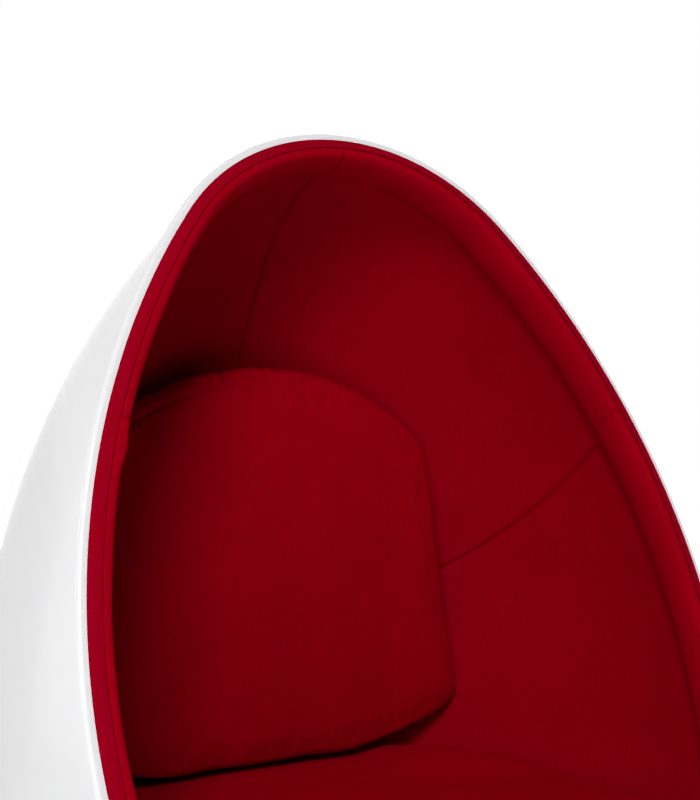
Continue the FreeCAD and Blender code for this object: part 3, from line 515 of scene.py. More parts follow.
def make_cloth(name, dark, light, ribs_on, rib_share):
    """Fine ribbed cloth with a weave, a soft sheen and slight mottling."""
    material, tree, shader, place = new_material(name, light, CLOTH_ROUGHNESS)
    vector = place.outputs["Object"]
    weave = use_group(tree, WEAVE, vector, Thread=THREAD_WIDTH)
    ribs = use_group(tree, WEAVE, place.outputs[ribs_on], Thread=RIB_THREAD_WIDTH)
    mottle = use_group(tree, MOTTLE, vector, Patch=CLOTH_PATCHES, Grain=CLOTH_GRAIN)
    rib, grain = ribs.outputs["Rib"], mottle.outputs["Grain"]
    shade = maths(tree, "MULTIPLY_ADD", mottle.outputs["Patch"], PATCH_SHARE, grain)
    shade = maths(tree, "MULTIPLY_ADD", rib, rib_share, shade)
    tint(tree, shader, maths(tree, "SUBTRACT", shade, SHADE_OFFSET), dark, light)
    height = maths(tree, "MULTIPLY_ADD", weave.outputs["Height"], WEAVE_HEIGHT, grain)
    height = maths(tree, "MULTIPLY_ADD", rib, RIB_HEIGHT, height)
    bump(tree, shader, height, CLOTH_RELIEF, CLOTH_BUMP)
    set_inputs(shader, {
        "Sheen Weight": 0.08, "Sheen Roughness": 0.5, "Sheen Tint": (1.0, 0.0, 0.03, 1.0),
        "Specular IOR Level": 0.0,
    })
    return material


LINING_CLOTH = make_cloth(
    "lining_cloth", linear(137, 0, 18), linear(180, 0, 28), ribs_on="UV", rib_share=0.14)
CUSHION_CLOTH = make_cloth(
    "cushion_cloth", linear(140, 0, 18), linear(183, 0, 28), ribs_on="Object", rib_share=0.07)

# %% [markdown]
# The band round the lip is a coarser twill with ribs that one can count. They
# slant across the band, so they need the ring's UV map, which is in metres.

# %% Twill of the edge band
TWILL_PITCH = 3.0 * MM
TWILL_SLANT = 1.25
TWILL_ROUGHNESS = 0.8
TWILL_GRAIN = 1600.0
TWILL_RIB_SHARE = 0.3
TWILL_RELIEF, TWILL_BUMP = 0.5 * MM, 0.8


def make_twill(name, dark, light):
    """Ribbed band: its ribs run slanting across, by the ring's UV map."""
    material, tree, shader, place = new_material(name, light, TWILL_ROUGHNESS)
    parts = add_node(tree, "ShaderNodeSeparateXYZ")
    tree.links.new(place.outputs["UV"], parts.inputs[0])
    slanted = maths(tree, "MULTIPLY_ADD", parts.outputs[1], TWILL_SLANT, parts.outputs[0])
    rib = maths(tree, "SINE", maths(tree, "MULTIPLY", slanted, 2 * math.pi / TWILL_PITCH))
    mottle = use_group(tree, MOTTLE, place.outputs["Object"], Grain=TWILL_GRAIN)
    shade = maths(tree, "MULTIPLY_ADD", rib, TWILL_RIB_SHARE, mottle.outputs["Grain"])
    tint(tree, shader, shade, dark, light)
    bump(tree, shader, rib, TWILL_RELIEF, TWILL_BUMP)
    set_inputs(shader, {
        "Sheen Weight": 0.1, "Sheen Tint": (1.0, 0.0, 0.05, 1.0), "Specular IOR Level": 0.0,
    })
    return material


TWILL = make_twill("edge_twill", linear(140, 0, 20), linear(190, 1, 38))

# %% [markdown]
# The shell is polished gel-coat: a white base with a thin clear coat. The
# waves of the mould are hardly there, but without them a highlight looks drawn.

# %% Gel-coat of the shell
GELCOAT_ROUGHNESS = 0.22
MOULD_PATCHES = 5.0
MOULD_RELIEF, MOULD_BUMP = 0.6 * MM, 0.25


def make_gelcoat():
    """Polished white gel-coat: a clear gloss over a hardly wavy white."""
    dark, light = linear(240, 240, 242), linear(247, 247, 248)
    material, tree, shader, place = new_material("gelcoat", light, GELCOAT_ROUGHNESS)
    mottle = use_group(tree, MOTTLE, place.outputs["Object"], Patch=MOULD_PATCHES)
    tint(tree, shader, mottle.outputs["Patch"], dark, light)
    bump(tree, shader, mottle.outputs["Patch"], MOULD_RELIEF, MOULD_BUMP)
    set_inputs(shader, {"Coat Weight": 0.5, "Coat Roughness": 0.06})
    return material


GELCOAT = make_gelcoat()

# %% [markdown]
# The parts of the foot and the swivel come from the frame with their shapes
# ready. They only need finishes, which differ in a few values, so one function
# makes them all from a table. A turned part gets its marks by stretching the
# noise. The colours are in sRGB, the patches and the grain are counted per
# metre, and the relief is in millimetres.

# %% Metals, plastics, wood, foam, felt and thread
FINE_BUMP = 0.5
LEAST_ROUGH, ROUGH_SPREAD = 0.75, 0.5


def make_simple(name, dark, light, roughness, metallic, patch, grain, relief, stretch=None):
    """A finish with patches, grain and a fine bump, stretched if it was turned."""
    dark, light = linear(*dark), linear(*light)
    material, tree, shader, place = new_material(name, light, roughness, metallic)
    vector = place.outputs["Object"]
    if stretch:
        mapping = add_node(tree, "ShaderNodeMapping", Scale=stretch)
        tree.links.new(vector, mapping.inputs["Vector"])
        vector = mapping.outputs["Vector"]
    mottle = use_group(tree, MOTTLE, vector, Patch=patch, Grain=grain)
    tint(tree, shader, mottle.outputs["Patch"], dark, light)
    spread, least = roughness * ROUGH_SPREAD, roughness * LEAST_ROUGH
    rough = maths(tree, "MULTIPLY_ADD", mottle.outputs["Grain"], spread, least)
    tree.links.new(rough, shader.inputs["Roughness"])
    bump(tree, shader, mottle.outputs["Grain"], relief * MM, FINE_BUMP)
    return material


# Dark and light colour, roughness, metallic, patches, grain, relief, stretch.
SIMPLE_FINISHES = {
    "polished_metal": ((196, 196, 198), (216, 216, 219), 0.12, 1, 12, 900, 0.01, (1, 1, 12)),
    "black_steel": ((26, 26, 27), (38, 38, 40), 0.5, 0, 30, 1500, 0.06),
    "machined_steel": ((150, 151, 154), (180, 181, 184), 0.3, 1, 40, 2200, 0.02, (1, 1, 25)),
    "zinc_steel": ((168, 168, 160), (196, 196, 190), 0.38, 1, 160, 2600, 0.03),
    "bush_plastic": ((214, 211, 200), (228, 226, 217), 0.45, 0, 40, 1400, 0.04),
    "plywood": ((160, 122, 78), (206, 172, 124), 0.62, 0, 60, 700, 0.12, (1, 8, 30)),
    "foam": ((212, 204, 176), (230, 224, 200), 0.95, 0, 40, 1100, 0.6),
    "felt": ((30, 30, 32), (52, 52, 54), 0.95, 0, 60, 1300, 0.4),
    "thread": ((84, 0, 9), (108, 0, 14), 0.9, 0, 60, 2400, 0.1),
}
FINISHES = {name: make_simple(name, *values) for name, values in SIMPLE_FINISHES.items()}
FINISHES["gelcoat"] = GELCOAT
FINISHES["red_cloth"] = CUSHION_CLOTH
FINISHES["lining_cloth"] = LINING_CLOTH
FINISHES["red_twill"] = TWILL
THREAD = FINISHES["thread"]
set_inputs(THREAD.node_tree.nodes["Principled BSDF"], {"Specular IOR Level": 0.0})


def dress(piece, material):
    piece.data.materials.clear()
    piece.data.materials.append(material)


SLOT_OF = {part["node"]: part["material_slot"] for part in frame["record"]["subparts"]}
for label, node in frame["nodes"].items():
    dress(node, FINISHES[SLOT_OF[label]])
print(len(FINISHES), "finishes on", len(frame["nodes"]), "nodes")

# %% [markdown]
# Shaping means moving many points a little, more here and less there.
# A soft step gives such weights, and a limit keeps the moved points off the
# lining.

# %% Smooth steps, and a limit at the lining


def ease(value, start, end):
    """Nought at the start, one at the end, and a soft step between."""
    share = np.clip((value - start) / (end - start), 0, 1)
    return share * share * (3 - 2 * share)


def keep_inside(points, depth):
    """Push points that come too near to the shell back towards its axis."""
    short = np.maximum(depth - egg_depth(points), 0)
    local = points - EGG_CENTRE
    away = local - (local @ EGG_AXIS)[:, None] * EGG_AXIS
    away /= np.maximum(np.linalg.norm(away, axis=1), MM)[:, None]
    return points - away * short[:, None]


# %% [markdown]
# The shell is one moulding: the glossy outside, a rounded lip at the opening
# and a plain inside that the lining hides. The ring rows follow the opening,
# so the highlight along the lip runs evenly. At the foot the shell is cut flat
# by a level plane, where it is bolted to its plate.

# %% Shell
LIP_ROUND = 4 * MM
SHELL_WALL = 5 * MM
LIP_FLAT = 7 * MM
LIP_WIDTH = 17 * MM
LIP_THICK = 5 * MM
LIP_CHAMFER = 1 * MM
LIP_FILLET = 3 * MM
LIP_END = 6 * MM
LIP_STEPS = 8
OUTSIDE_ROWS = 96
INSIDE_ROWS = 60


def shell_profile():
    outside = bowl_rows(0.0, -LIP_END, OUTSIDE_ROWS)
    lip = []
    for angle in np.linspace(0, math.pi / 2, LIP_STEPS + 1):
        lip.append((LIP_ROUND * (1 - math.cos(angle)), -LIP_ROUND * (1 - math.sin(angle))))
    front = [(LIP_FLAT, 0.0), (LIP_WIDTH - LIP_CHAMFER, 0.0), (LIP_WIDTH, -LIP_CHAMFER)]
    behind = [(LIP_WIDTH, -LIP_THICK), (SHELL_WALL + LIP_CHAMFER, -LIP_THICK)]
    inside = bowl_rows(SHELL_WALL, -LIP_THICK - LIP_FILLET, INSIDE_ROWS)
    return outside[::-1] + lip + front + behind + inside


shell = egg_ring("shell_moulding", shell_profile(), WIDE_TURNS)
cut_off(shell, (0, 0, PAD_HEIGHT), (0, 0, 1))
dress(shell, GELCOAT)
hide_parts("shell")
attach(shell, "pod")
print("shell", len(shell.data.polygons), "faces")

# %% [markdown]
# The lining is foam backed cloth in three panels: two above, left and right
# of the middle, and one below. The seams lie in planes. Along each seam the
# cloth is drawn down into the foam, so the panels roll over towards each
# other. Rows of edges are cut beside every seam first, to give that roll
# enough vertices.

# %% Seams
SEAM_HEIGHT = 330 * MM
SEAM_SLOPE = math.radians(34.2)
SEAM_POINT = EGG_CENTRE + np.array([0, 0, SEAM_HEIGHT])
SEAM_NORMAL = np.array([0, math.sin(SEAM_SLOPE), math.cos(SEAM_SLOPE)])
SEAM_LINES = (
    (np.array([0.0, 0, 0]), SIDEWAYS),
    (SEAM_POINT, SEAM_NORMAL),
)
SEAM_ROWS = (0.0, 0.8, 1.8, 3.2, 5.5, 9.0, 14.0)


def cut_rows(piece):
    """Add edge rows beside each seam, without cutting anything off."""
    def row(point, normal, offset):
        at = point + normal * offset * MM
        return lambda: bpy.ops.mesh.bisect(plane_co=tuple(at), plane_no=tuple(normal))

    offsets = sorted({offset * side for offset in SEAM_ROWS for side in (1, -1)})
    for point, normal in SEAM_LINES:
        edit(piece, *[row(point, normal, offset) for offset in offsets])


def sink_seams(piece, deep, reach, deeper_than):
    """Draw the cloth in along the seams, along its own normals."""
    points, out = vertices_of(piece), normals_of(piece)
    pull = np.zeros(len(points))
    for index, (point, normal) in enumerate(SEAM_LINES):
        distance = np.abs((points - point) @ normal)
        # The middle seam, which comes first, ends at the side seams.
        if index == 0:
            distance = np.where((points - SEAM_POINT) @ SEAM_NORMAL > 0, distance, reach)
        near = np.clip(1 - distance / reach, 0, 1)
        pull = np.maximum(pull, deep * near ** 2)
    pull = np.where(egg_depth(points) > deeper_than, pull, 0)
    move_vertices(piece, points - out * pull[:, None])


def split_panels(piece, stem):
    """Cut a closed ring into its three sewn panels, each one closed."""
    panels = {}
    for side, keep in (("upper_left", -1), ("upper_right", 1), ("lower", 0)):
        panel = piece.copy()
        panel.data = piece.data.copy()
        panel.name = panel.data.name = stem + side
        bpy.context.collection.objects.link(panel)
        cut_off(panel, SEAM_POINT, SEAM_NORMAL, keep_front=keep != 0)
        if keep:
            cut_off(panel, (0, 0, 0), (keep, 0, 0))
        panels[side] = panel
    bpy.data.objects.remove(piece)
    return panels


def waviness(piece, height, size, deeper_than):
    """Very shallow swells, as cloth over hand laid foam has."""
    points, out = vertices_of(piece), normals_of(piece)
    swell = np.array([noise.noise(Vector(point) / size) for point in points])
    swell = np.where(egg_depth(points) > deeper_than, swell * height, 0)
    move_vertices(piece, points + out * swell[:, None])


# %% [markdown]
# The lining starts under the roll, in a small valley, and runs back to the
# point behind the sitter. Its hidden side lies on the shell. The valley gives
# the soft shade along the roll that the real chair has.

# %% Lining
FACE_DEPTH = 32 * MM
COLLAR_WIDTH = 57 * MM
GLUE_GAP = 0.6 * MM
VALLEY = (
    (18.0, 0.4), (22.5, 0.7), (25.0, 1.6), (27.0, 4.0), (28.9, 8.5), (30.3, 14.5), (31.3, 22.0),
)
VALLEY_REACH = 31 * MM
HIDDEN_ROWS = 40
SHOWN_ROWS = 110


def lining_profile():
    hidden = bowl_rows(SHELL_WALL + GLUE_GAP, -COLLAR_WIDTH, HIDDEN_ROWS)
    edge = [(depth * MM, -COLLAR_WIDTH - back * MM) for depth, back in VALLEY]
    shown = bowl_rows(FACE_DEPTH, -COLLAR_WIDTH - VALLEY_REACH, SHOWN_ROWS)
    return hidden[::-1] + edge + shown


lining = egg_ring("lining", lining_profile(), WIDE_TURNS)
cut_rows(lining)
waviness(lining, height=1.6 * MM, size=0.16, deeper_than=FACE_DEPTH - 2 * MM)
sink_seams(lining, deep=5.0 * MM, reach=5.6 * MM, deeper_than=FACE_DEPTH - 8 * MM)
for side, panel in split_panels(lining, "lining_cloth_").items():
    dress(panel, LINING_CLOTH)
    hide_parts("lining_" + side)
    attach(panel, "pod")
    print(panel.name, len(panel.data.polygons), "faces")

# %% [markdown]
# The collar is a soft roll between the band and the lining. Its profile is
# drawn as a full round towards the sitter, a long slope back, and a tight
# crease where it meets the lining. The seams of the lining run on over
# it.

# %% Collar
COLLAR_CORNERS = (
    (17.6, 2.4), (18.3, 4.4), (20.0, 6.0), (22.6, 6.3), (25.8, 5.0), (29.0, 2.0),
    (32.2, -3.0), (35.4, -9.6), (38.0, -17.0), (39.9, -25.5), (40.8, -33.5),
    (40.2, -40.5), (38.0, -47.0), (34.6, -52.0), (30.6, -55.4), (26.0, -57.0),
    (19.0, -57.0), (10.0, -54.0), (6.0, -45.0), (5.6, -25.0), (6.2, -6.6),
    (15.6, -5.8), (17.2, -3.0), (17.3, 0.0),
)
ROLL_FRONT = 24 * MM


def plump(piece, below, reach, height):
    """Let the roll swell just below the seam, at the sitter's right."""
    points, out = vertices_of(piece), normals_of(piece)
    down = (SEAM_POINT - points) @ SEAM_NORMAL
    swell = height * np.exp(-((down - below) / reach) ** 2) * ease(points[:, 0] / MM, 0, -200)
    swell = np.where(egg_depth(points) > ROLL_FRONT, swell, 0)
    move_vertices(piece, points + out * swell[:, None])


collar = egg_ring("collar", smooth_profile(COLLAR_CORNERS))
cut_rows(collar)
waviness(collar, height=0.9 * MM, size=0.07, deeper_than=ROLL_FRONT)
plump(collar, below=27 * MM, reach=15 * MM, height=2.8 * MM)
sink_seams(collar, deep=2.4 * MM, reach=4.5 * MM, deeper_than=20 * MM)
for side, panel in split_panels(collar, "collar_roll_").items():
    dress(panel, LINING_CLOTH)
    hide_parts("collar_" + side)
    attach(panel, "pod")
    print(panel.name, len(panel.data.polygons), "faces")

# %% [markdown]
# The edge band is a strip of ribbed twill, folded over a flexible core and
# laid on the lip. It slopes from the shell up to a row of stitches, which
# sit in a small groove between band and collar.

# %% Edge band
BAND_CORNERS = (
    (7.7, 0.15), (7.9, 1.1), (8.8, 2.2), (10.6, 3.5), (12.8, 4.7), (15.0, 5.7),
    (16.6, 6.1), (17.6, 5.8), (18.0, 4.8), (17.4, 3.2), (14.8, 1.4), (10.6, 0.3),
)

band = egg_ring("edge_band_twill", smooth_profile(BAND_CORNERS))
dress(band, TWILL)
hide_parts("edge_band", "edge_strip")
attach(band, "pod")
print("band", len(band.data.polygons), "faces")

# %% [markdown]
# One stitch is a short thread with pinched ends. It is made once, from a
# cylinder with few sides, and copied along the groove, each copy turned to
# the rim's direction there.

# %% Stitches along the band
STITCH_PITCH = 4.0 * MM
STITCH_LENGTH = 3.1 * MM
STITCH_RADIUS = 0.42 * MM
STITCH_SEAT = (18.2 * MM, 5.2 * MM)
STITCH_SIDES = 6
PINCH = 0.05


def one_stitch():
    bpy.ops.object.select_all(action="DESELECT")
    bpy.ops.mesh.primitive_cylinder_add(
        vertices=STITCH_SIDES, radius=STITCH_RADIUS, depth=STITCH_LENGTH,
        end_fill_type="TRIFAN", rotation=(0, math.pi / 2, 0),
    )
    stitch = bpy.context.object
    bpy.ops.object.transform_apply(location=True, rotation=True, scale=True)
    edit(stitch, lambda: bpy.ops.mesh.subdivide(number_cuts=1))
    points = vertices_of(stitch)
    along = 2 * points[:, 0] / STITCH_LENGTH
    taper = np.sqrt(np.clip(1 + PINCH - along ** 2, PINCH, 1))
    points[:, 1:] *= taper[:, None]
    move_vertices(stitch, points)
    return stitch


def sew_round(name, seat, pitch):
    """Copies of one stitch round the opening, joined into one piece."""
    pattern = one_stitch()
    count = int(RIM_LENGTH / pitch)
    places = on_egg(*seat, even_turns(count, *seat)[0])
    mesh = bmesh.new()
    for here, there in zip(places[:-1], places[1:]):
        along = Vector(there - here).normalized()
        side = Vector(OUTWARD).cross(along).normalized()
        turn = Matrix((along, side, along.cross(side))).transposed().to_4x4()
        part = pattern.data.copy()
        part.transform(Matrix.Translation(Vector((here + there) / 2)) @ turn)
        mesh.from_mesh(part)
        bpy.data.meshes.remove(part)
    data = bpy.data.meshes.new(name)
    mesh.to_mesh(data)
    mesh.free()
    bpy.data.objects.remove(pattern)
    piece = bpy.data.objects.new(name, data)
    bpy.context.collection.objects.link(piece)
    print(name, count, "stitches")
    return piece


stitches = sew_round("band_stitches", STITCH_SEAT, STITCH_PITCH)
pick(stitches)
bpy.ops.object.shade_smooth()
dress(stitches, THREAD)
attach(stitches, "pod")

# %% [markdown]
# The cushions are real padded forms. Each starts from the foam that the frame
# holds: its mesh is copied, merged, remeshed to small even faces, and then
# blown up a little by a cloth simulation with pressure, so that the faces
# crown and the sides pull in between the corners. A cap on the movement keeps
# it clear of its neighbours.

# %% Blow up a cushion
PRESSURE = 4.0
PRESSURE_FRAMES = 18
CLOTH_QUALITY = 5
SMOOTHING = 0.5
SMOOTH_ROUNDS = 4


def foam_copy(name, node, voxel):
    """A remeshed and smoothed copy of a node of the frame."""
    piece = frame["nodes"][node].copy()
    piece.data = frame["nodes"][node].data.copy()
    piece.name = piece.data.name = name
    for key in list(piece.keys()):
        del piece[key]
    piece.parent = None
    bpy.context.collection.objects.link(piece)
    close_up(piece, gap=0.1 * MM)
    remesh = piece.modifiers.new("even", "REMESH")
    remesh.mode = "VOXEL"
    remesh.voxel_size = voxel
    apply_all(piece)
    smooth = piece.modifiers.new("soft", "SMOOTH")
    smooth.factor = SMOOTHING
    smooth.iterations = SMOOTH_ROUNDS
    apply_all(piece)
    return piece


def inflate(piece, cap):
    """Cloth simulation with pressure, its movement capped, then applied."""
    before = vertices_of(piece)
    cloth = piece.modifiers.new("cloth", "CLOTH")
    settings = cloth.settings
    settings.use_pressure = True
    settings.uniform_pressure_force = PRESSURE
    settings.quality = CLOTH_QUALITY
    settings.effector_weights.gravity = 0
    cloth.point_cache.frame_end = PRESSURE_FRAMES
    for number in range(1, PRESSURE_FRAMES + 1):
        bpy.context.scene.frame_set(number)
    apply_all(piece)
    move = vertices_of(piece) - before
    length = np.linalg.norm(move, axis=1)
    short = cap / np.maximum(length, cap)
    move_vertices(piece, before + move * short[:, None])
    bpy.context.scene.frame_set(1)
    print(piece.name, "moved up to %.1f mm before the cap" % (length.max() / MM))


def refine(piece):
    """One subdivision, applied, and smooth shading."""
    divide = piece.modifiers.new("fine", "SUBSURF")
    divide.levels = divide.render_levels = 1
    apply_all(piece)
    bpy.ops.object.shade_smooth()


# %% [markdown]
# After the simulation come the sewn lines, because a remesh would wipe them
# out. The front panel of the back cushion is joined to its boxing strip by a
# seam that runs just inside the outline. To find that seam, the outline is
# drawn as four arcs, and each vertex gets its distance to it.

# %% Outline of the back cushion
BACK_FRONT = EGG_CENTRE[1] + 240 * MM
BACK_TOP = 424.5 * MM
BACK_TOP_ARC = 365 * MM
BACK_SHOULDER = 247 * MM
BACK_FOOT = (303 * MM, -30 * MM)
BACK_BOTTOM = -81 * MM
BACK_WAIST = 5 * MM
ACROSS_STEPS = 160
SIDE_STEPS = 100
CHUNK = 4000


def arc_points(first, middle, last, count):
    """Points of the circle through three points, in a plane."""
    (ax, ay), (bx, by), (cx, cy) = first, middle, last
    twice = 2 * (ax * (by - cy) + bx * (cy - ay) + cx * (ay - by))
    one, two, three = ax ** 2 + ay ** 2, bx ** 2 + by ** 2, cx ** 2 + cy ** 2
    x = (one * (by - cy) + two * (cy - ay) + three * (ay - by)) / twice
    y = (one * (cx - bx) + two * (ax - cx) + three * (bx - ax)) / twice
    start, through, end = (
        math.atan2(py - y, px - x) for px, py in (first, middle, last)
    )
    sweep = (end - start) % (2 * math.pi)
    if (through - start) % (2 * math.pi) > sweep:
        sweep -= 2 * math.pi
    radius = math.hypot(ax - x, ay - y)
    angles = start + sweep * np.linspace(0, 1, count)
    return np.stack([x + radius * np.cos(angles), y + radius * np.sin(angles)], 1)


def back_outline():
    """Closed outline of the cushion's front, about the egg's centre."""
    drop = BACK_TOP_ARC - math.sqrt(BACK_TOP_ARC ** 2 - BACK_SHOULDER ** 2)
    shoulder = (BACK_SHOULDER, BACK_TOP - drop)
    left = (-shoulder[0], shoulder[1])
    foot, left_foot = BACK_FOOT, (-BACK_FOOT[0], BACK_FOOT[1])
    waist = ((foot[0] + shoulder[0]) / 2 - BACK_WAIST, (foot[1] + shoulder[1]) / 2)
    left_waist = (-waist[0], waist[1])
    return np.concatenate([
        arc_points(shoulder, (0, BACK_TOP), left, ACROSS_STEPS),
        arc_points(left, left_waist, left_foot, SIDE_STEPS),
        arc_points(left_foot, (0, BACK_BOTTOM), foot, ACROSS_STEPS),
        arc_points(foot, waist, shoulder, SIDE_STEPS),
    ])


def distance_inside(flat, outline):
    """Distance of flat points to an outline, and the place along it."""
    steps = np.linalg.norm(np.diff(outline, axis=0), axis=1)
    along = np.concatenate([[0], np.cumsum(steps)])
    away = np.empty(len(flat))
    place = np.empty(len(flat))
    for start in range(0, len(flat), CHUNK):
        part = slice(start, start + CHUNK)
        gaps = np.linalg.norm(flat[part, None, :] - outline[None, :, :], axis=2)
        away[part] = gaps.min(axis=1)
        place[part] = along[gaps.argmin(axis=1)]
    return away, place


# %% [markdown]
# The cushion is blown up first and shaped afterwards. Its lower corners are
# filled, and its sides are drawn in behind the front edge, where the real one
# leaves a dark gap to the lining. Then the cloth is drawn in along the seam of
# its upper edge, and the strip behind the seam is gathered, most at the
# sitter's right.

# %% Back cushion
BACK_VOXEL = 5.5 * MM
BACK_SWELL = 5 * MM
CLEAR_DEPTH = FACE_DEPTH + 2 * MM
SEAM_INSET = 17 * MM
GROOVE_DEPTH, GROOVE_WIDTH = 4.2 * MM, 2.6 * MM
STRIP_INSET, STRIP_WIDTH = 7 * MM, 9 * MM
SEWN_FROM, SEWN_BLEND = 860 * MM, 100 * MM
GROOVE_REACH = 40 * MM
FOLDS_PER_METRE = 62
FOLD_HEIGHT = 15 * MM
FOLD_LEVEL = 0.22
FOLD_PLACE = (3.7, 1.1)
FULLER_SIDE, FULLER_FOOT, TRIMMED_SHOULDER = 6, 12, 7
SHOULDER = (247, 328)
DRAWN_IN = 24
FRONT_FORWARD, TOP_RISE, BOTTOM_DROP = 9 * MM, 6 * MM, 11 * MM


def bell(value, middle, width):
    return np.exp(-((value - middle) / width) ** 2)


def sew_back_cushion(piece):
    """Draw the cloth in along the upper seam, and gather the strip behind it."""
    points, out = vertices_of(piece), normals_of(piece)
    flat = np.stack([points[:, 0], points[:, 2] - EGG_CENTRE[2]], 1)
    inset, place = distance_inside(flat, back_outline())
    front = np.clip(1 - (points[:, 1] - BACK_FRONT) / GROOVE_REACH, 0, 1)
    # Strongest high up and at the sitter's right.
    sewn = np.clip((points[:, 2] - SEWN_FROM) / SEWN_BLEND, 0, 1)
    sewn *= ease(points[:, 0] / MM, 210, -120)
    groove = GROOVE_DEPTH * bell(inset, SEAM_INSET, GROOVE_WIDTH) * sewn
    strip = bell(inset, STRIP_INSET, STRIP_WIDTH) * sewn
    folds = [noise.noise(Vector((spot * FOLDS_PER_METRE, *FOLD_PLACE))) for spot in place]
    folds = FOLD_LEVEL - np.abs(folds)
    move_vertices(piece, points + out * (strip * FOLD_HEIGHT * folds - groove * front)[:, None])


def fill_corners(piece):
    """Fill out the lower corners, and straighten the bottom edge."""
    points = vertices_of(piece)
    # Millimetres from the middle, above the egg's centre and behind the front.
    side, low = np.abs(points[:, 0]) / MM, (points[:, 2] - EGG_CENTRE[2]) / MM
    behind = (points[:, 1] - BACK_FRONT) / MM
    front = ease(behind, 45, 5)
    # Outwards, more towards the foot, but less at the shoulder.
    wide = FULLER_SIDE + FULLER_FOOT * ease(low, 120, -10)
    wide *= ease(side, 120, 290) * front * ease(low, 350, 250)
    from_shoulder = np.hypot(side - SHOULDER[0], low - SHOULDER[1])
    wide -= TRIMMED_SHOULDER * ease(from_shoulder, 46, 0)
    # The sides are drawn in behind the front edge.
    drawn = DRAWN_IN * ease(behind, 4, 34) * ease(side, 150, 250)
    points[:, 0] += np.sign(points[:, 0]) * (wide - drawn) * MM
    # The front comes forward at its sides, the top rises, the bottom drops.
    points[:, 1] -= FRONT_FORWARD * ease(side, 170, 270) * front
    points[:, 2] += TOP_RISE * ease(low, 280, 400) * front
    bottom = ease(low, 0, -60) * ease(side, 50, 140) * ease(side, 320, 270)
    points[:, 2] -= BOTTOM_DROP * bottom * front
    move_vertices(piece, keep_inside(points, CLEAR_DEPTH))


back_cushion = foam_copy("back_cushion_pad", "back_cushion_foam", BACK_VOXEL)
inflate(back_cushion, BACK_SWELL)
refine(back_cushion)
fill_corners(back_cushion)
sew_back_cushion(back_cushion)
dress(back_cushion, CUSHION_CLOTH)
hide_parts("back_cushion_cover", "back_cushion_foam", "back_cushion_zip")
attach(back_cushion, "back_cushion")
print("back cushion", len(back_cushion.data.polygons), "faces")

# %% [markdown]
# The seat cushion is a thick boxed pad that fills the bowl. It is made the same
# way. The seat base under it is an upholstered block, so it isn't blown up.

# %% Seat cushion and seat base
SEAT_VOXEL = 6.8 * MM
SEAT_SWELL = 4 * MM
BASE_VOXEL = 7 * MM
REAR_LIFT = 13 * MM


def lift_rear_corners(piece):
    """The rear corners of the seat swell up beside the back cushion."""
    points = vertices_of(piece)
    below_top = (points[:, 2].max() - points[:, 2]) / MM
    beside = ease(np.abs(points[:, 0]) / MM, 130, 230) * ease(points[:, 1] / MM, 60, 190)
    points[:, 2] += REAR_LIFT * beside * ease(below_top, 60, 10)
    move_vertices(piece, keep_inside(points, CLEAR_DEPTH))


seat_cushion = foam_copy("seat_cushion_pad", "seat_cushion_foam", SEAT_VOXEL)
inflate(seat_cushion, SEAT_SWELL)
refine(seat_cushion)
lift_rear_corners(seat_cushion)
dress(seat_cushion, CUSHION_CLOTH)
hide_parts("seat_cushion_cover", "seat_cushion_foam", "seat_cushion_zip")
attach(seat_cushion, "pod")

seat_base = foam_copy("seat_base_pad", "seat_base_foam", BASE_VOXEL)
refine(seat_base)
dress(seat_base, CUSHION_CLOTH)
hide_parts("seat_base_cover", "seat_base_foam")
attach(seat_base, "pod")
print("seat", len(seat_cushion.data.polygons), len(seat_base.data.polygons), "faces")

# %% [markdown]
# The photograph has a pure white ground. The floor is a white plane that takes
# the chair's shadow, and to the camera and in reflections it also glows a
# little, more towards its far end, so that it runs into the world without a
# horizon. The world is white only to those rays, and hardly lights the chair.

# %% Floor and world
FLOOR_REACH = 12.0
FLOOR_COLOUR = (0.9, 0.9, 0.9, 1)
FLOOR_ROUGHNESS = 0.9
GLOW_SHARE = 0.85
GLOW_FADE = {"From Min": 1.0, "From Max": 3.5, "To Min": 1.08, "To Max": 1.178}
WORLD_LIGHT = 0.02
WHITE = (1, 1, 1, 1)


def seen_directly(tree):
    """One for rays from the camera and for reflections, else nought."""
    paths = add_node(tree, "ShaderNodeLightPath")
    return maths(tree, "MAXIMUM", paths.outputs["Is Camera Ray"], paths.outputs["Is Glossy Ray"])


def make_floor():
    bpy.ops.object.select_all(action="DESELECT")
    bpy.ops.mesh.primitive_plane_add(size=FLOOR_REACH)
    floor = bpy.context.object
    floor.name = "studio_floor"
    material, tree, shader, place = new_material("studio_white", FLOOR_COLOUR, FLOOR_ROUGHNESS)
    far = add_node(tree, "ShaderNodeVectorMath", operation="LENGTH")
    tree.links.new(place.outputs["Object"], far.inputs[0])
    fade = add_node(tree, "ShaderNodeMapRange")
    set_inputs(fade, GLOW_FADE)
    tree.links.new(far.outputs["Value"], fade.inputs["Value"])
    glow = add_node(tree, "ShaderNodeEmission", Color=WHITE)
    tree.links.new(fade.outputs["Result"], glow.inputs["Strength"])
    mix = add_node(tree, "ShaderNodeMixShader")
    tree.links.new(maths(tree, "MULTIPLY", seen_directly(tree), GLOW_SHARE), mix.inputs[0])
    tree.links.new(shader.outputs[0], mix.inputs[1])
    tree.links.new(glow.outputs[0], mix.inputs[2])
    tree.links.new(mix.outputs[0], tree.nodes["Material Output"].inputs["Surface"])
    dress(floor, material)


def make_world():
    world = bpy.data.worlds.new("studio_world")
    bpy.context.scene.world = world
    world.use_nodes = True
    tree = world.node_tree
    backdrop = tree.nodes["Background"]
    set_inputs(backdrop, {"Color": WHITE})
    strength = maths(tree, "MULTIPLY_ADD", seen_directly(tree), 1 - WORLD_LIGHT, WORLD_LIGHT)
    tree.links.new(strength, backdrop.inputs["Strength"])


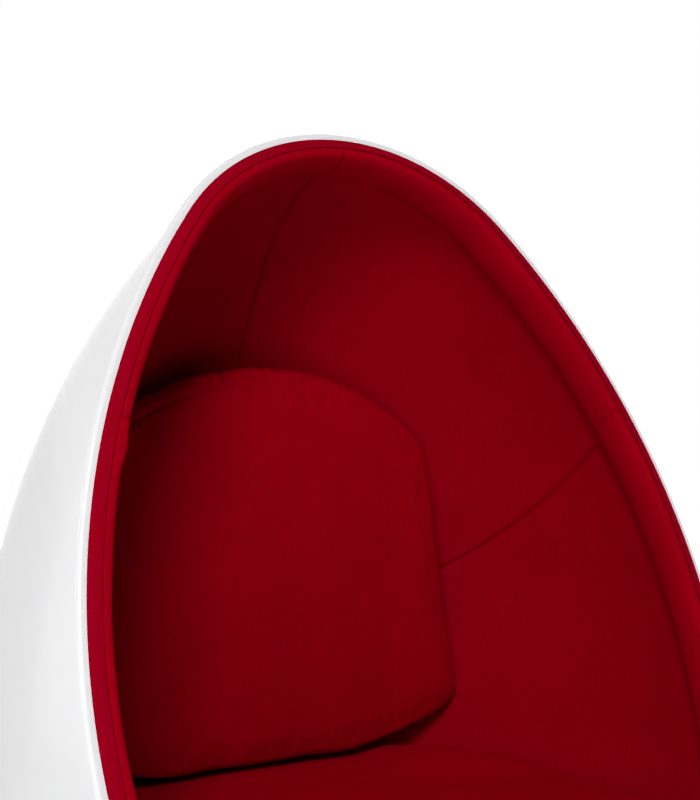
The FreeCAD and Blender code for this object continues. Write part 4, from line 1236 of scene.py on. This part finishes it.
make_floor()
make_world()

# %% [markdown]
# Six lamps stand round the chair, all at one distance and turned to one point.
# The key hangs in front, a little to the camera's left, and its shadow leaves
# the hood dark. The others are broad and weak: they give the white shell its
# soft shading, the right lip its edge, and some light to a view from behind.

# %% Lamps
LAMP_REACH = 3.4
LAMP_TARGET = Vector((0, 0, 0.85))
# Name, azimuth and rise in degrees, power in watts, size in metres.
LAMPS = (
    ("key", -35, 36, 70, 1.0),
    ("low_left", -52, 4, 22, 2.2),
    ("side_back", -110, 12, 10, 2.6),
    ("top_back", -150, 35, 4, 2.6),
    ("right_edge", 92, 12, 60, 2.0),
    ("behind", 165, 18, 42, 2.6),
)


def add_lamp(name, azimuth, rise, power, size):
    around, up = math.radians(azimuth), math.radians(rise)
    flat = math.cos(up)
    way = Vector((math.sin(around) * flat, -math.cos(around) * flat, math.sin(up)))
    bpy.ops.object.light_add(type="AREA", location=LAMP_TARGET + way * LAMP_REACH)
    lamp = bpy.context.object
    lamp.name = name
    lamp.data.shape = "RECTANGLE"
    lamp.data.size = lamp.data.size_y = size
    lamp.data.energy = power
    lamp.rotation_euler = (-way).to_track_quat("-Z", "Y").to_euler()


for row in LAMPS:
    add_lamp(*row)

# %% [markdown]
# The lens and the place of the camera were fitted to the photograph with the
# egg's outline. The focal length is kept in pixels of the picture's height,
# and turned into millimetres of a 36 mm sensor. The camera's place is counted
# from the egg's centre in metres, and its angles are in radians.

# %% Camera
CAMERA_OFFSET = np.array([-0.850, -1.346, 0.400])
CAMERA_TURN = -0.551
CAMERA_DIP = 0.009
FOCAL_PIXELS = 1442.5
FRAME_HEIGHT = 800
SENSOR = 36.0

bpy.ops.object.camera_add(
    location=tuple(EGG_CENTRE + CAMERA_OFFSET),
    rotation=(math.pi / 2 - CAMERA_DIP, 0, CAMERA_TURN),
)
camera = bpy.context.object
camera.data.sensor_width = SENSOR
camera.data.lens = FOCAL_PIXELS / FRAME_HEIGHT * SENSOR
bpy.context.scene.camera = camera
bpy.context.scene.view_settings.view_transform = "Standard"
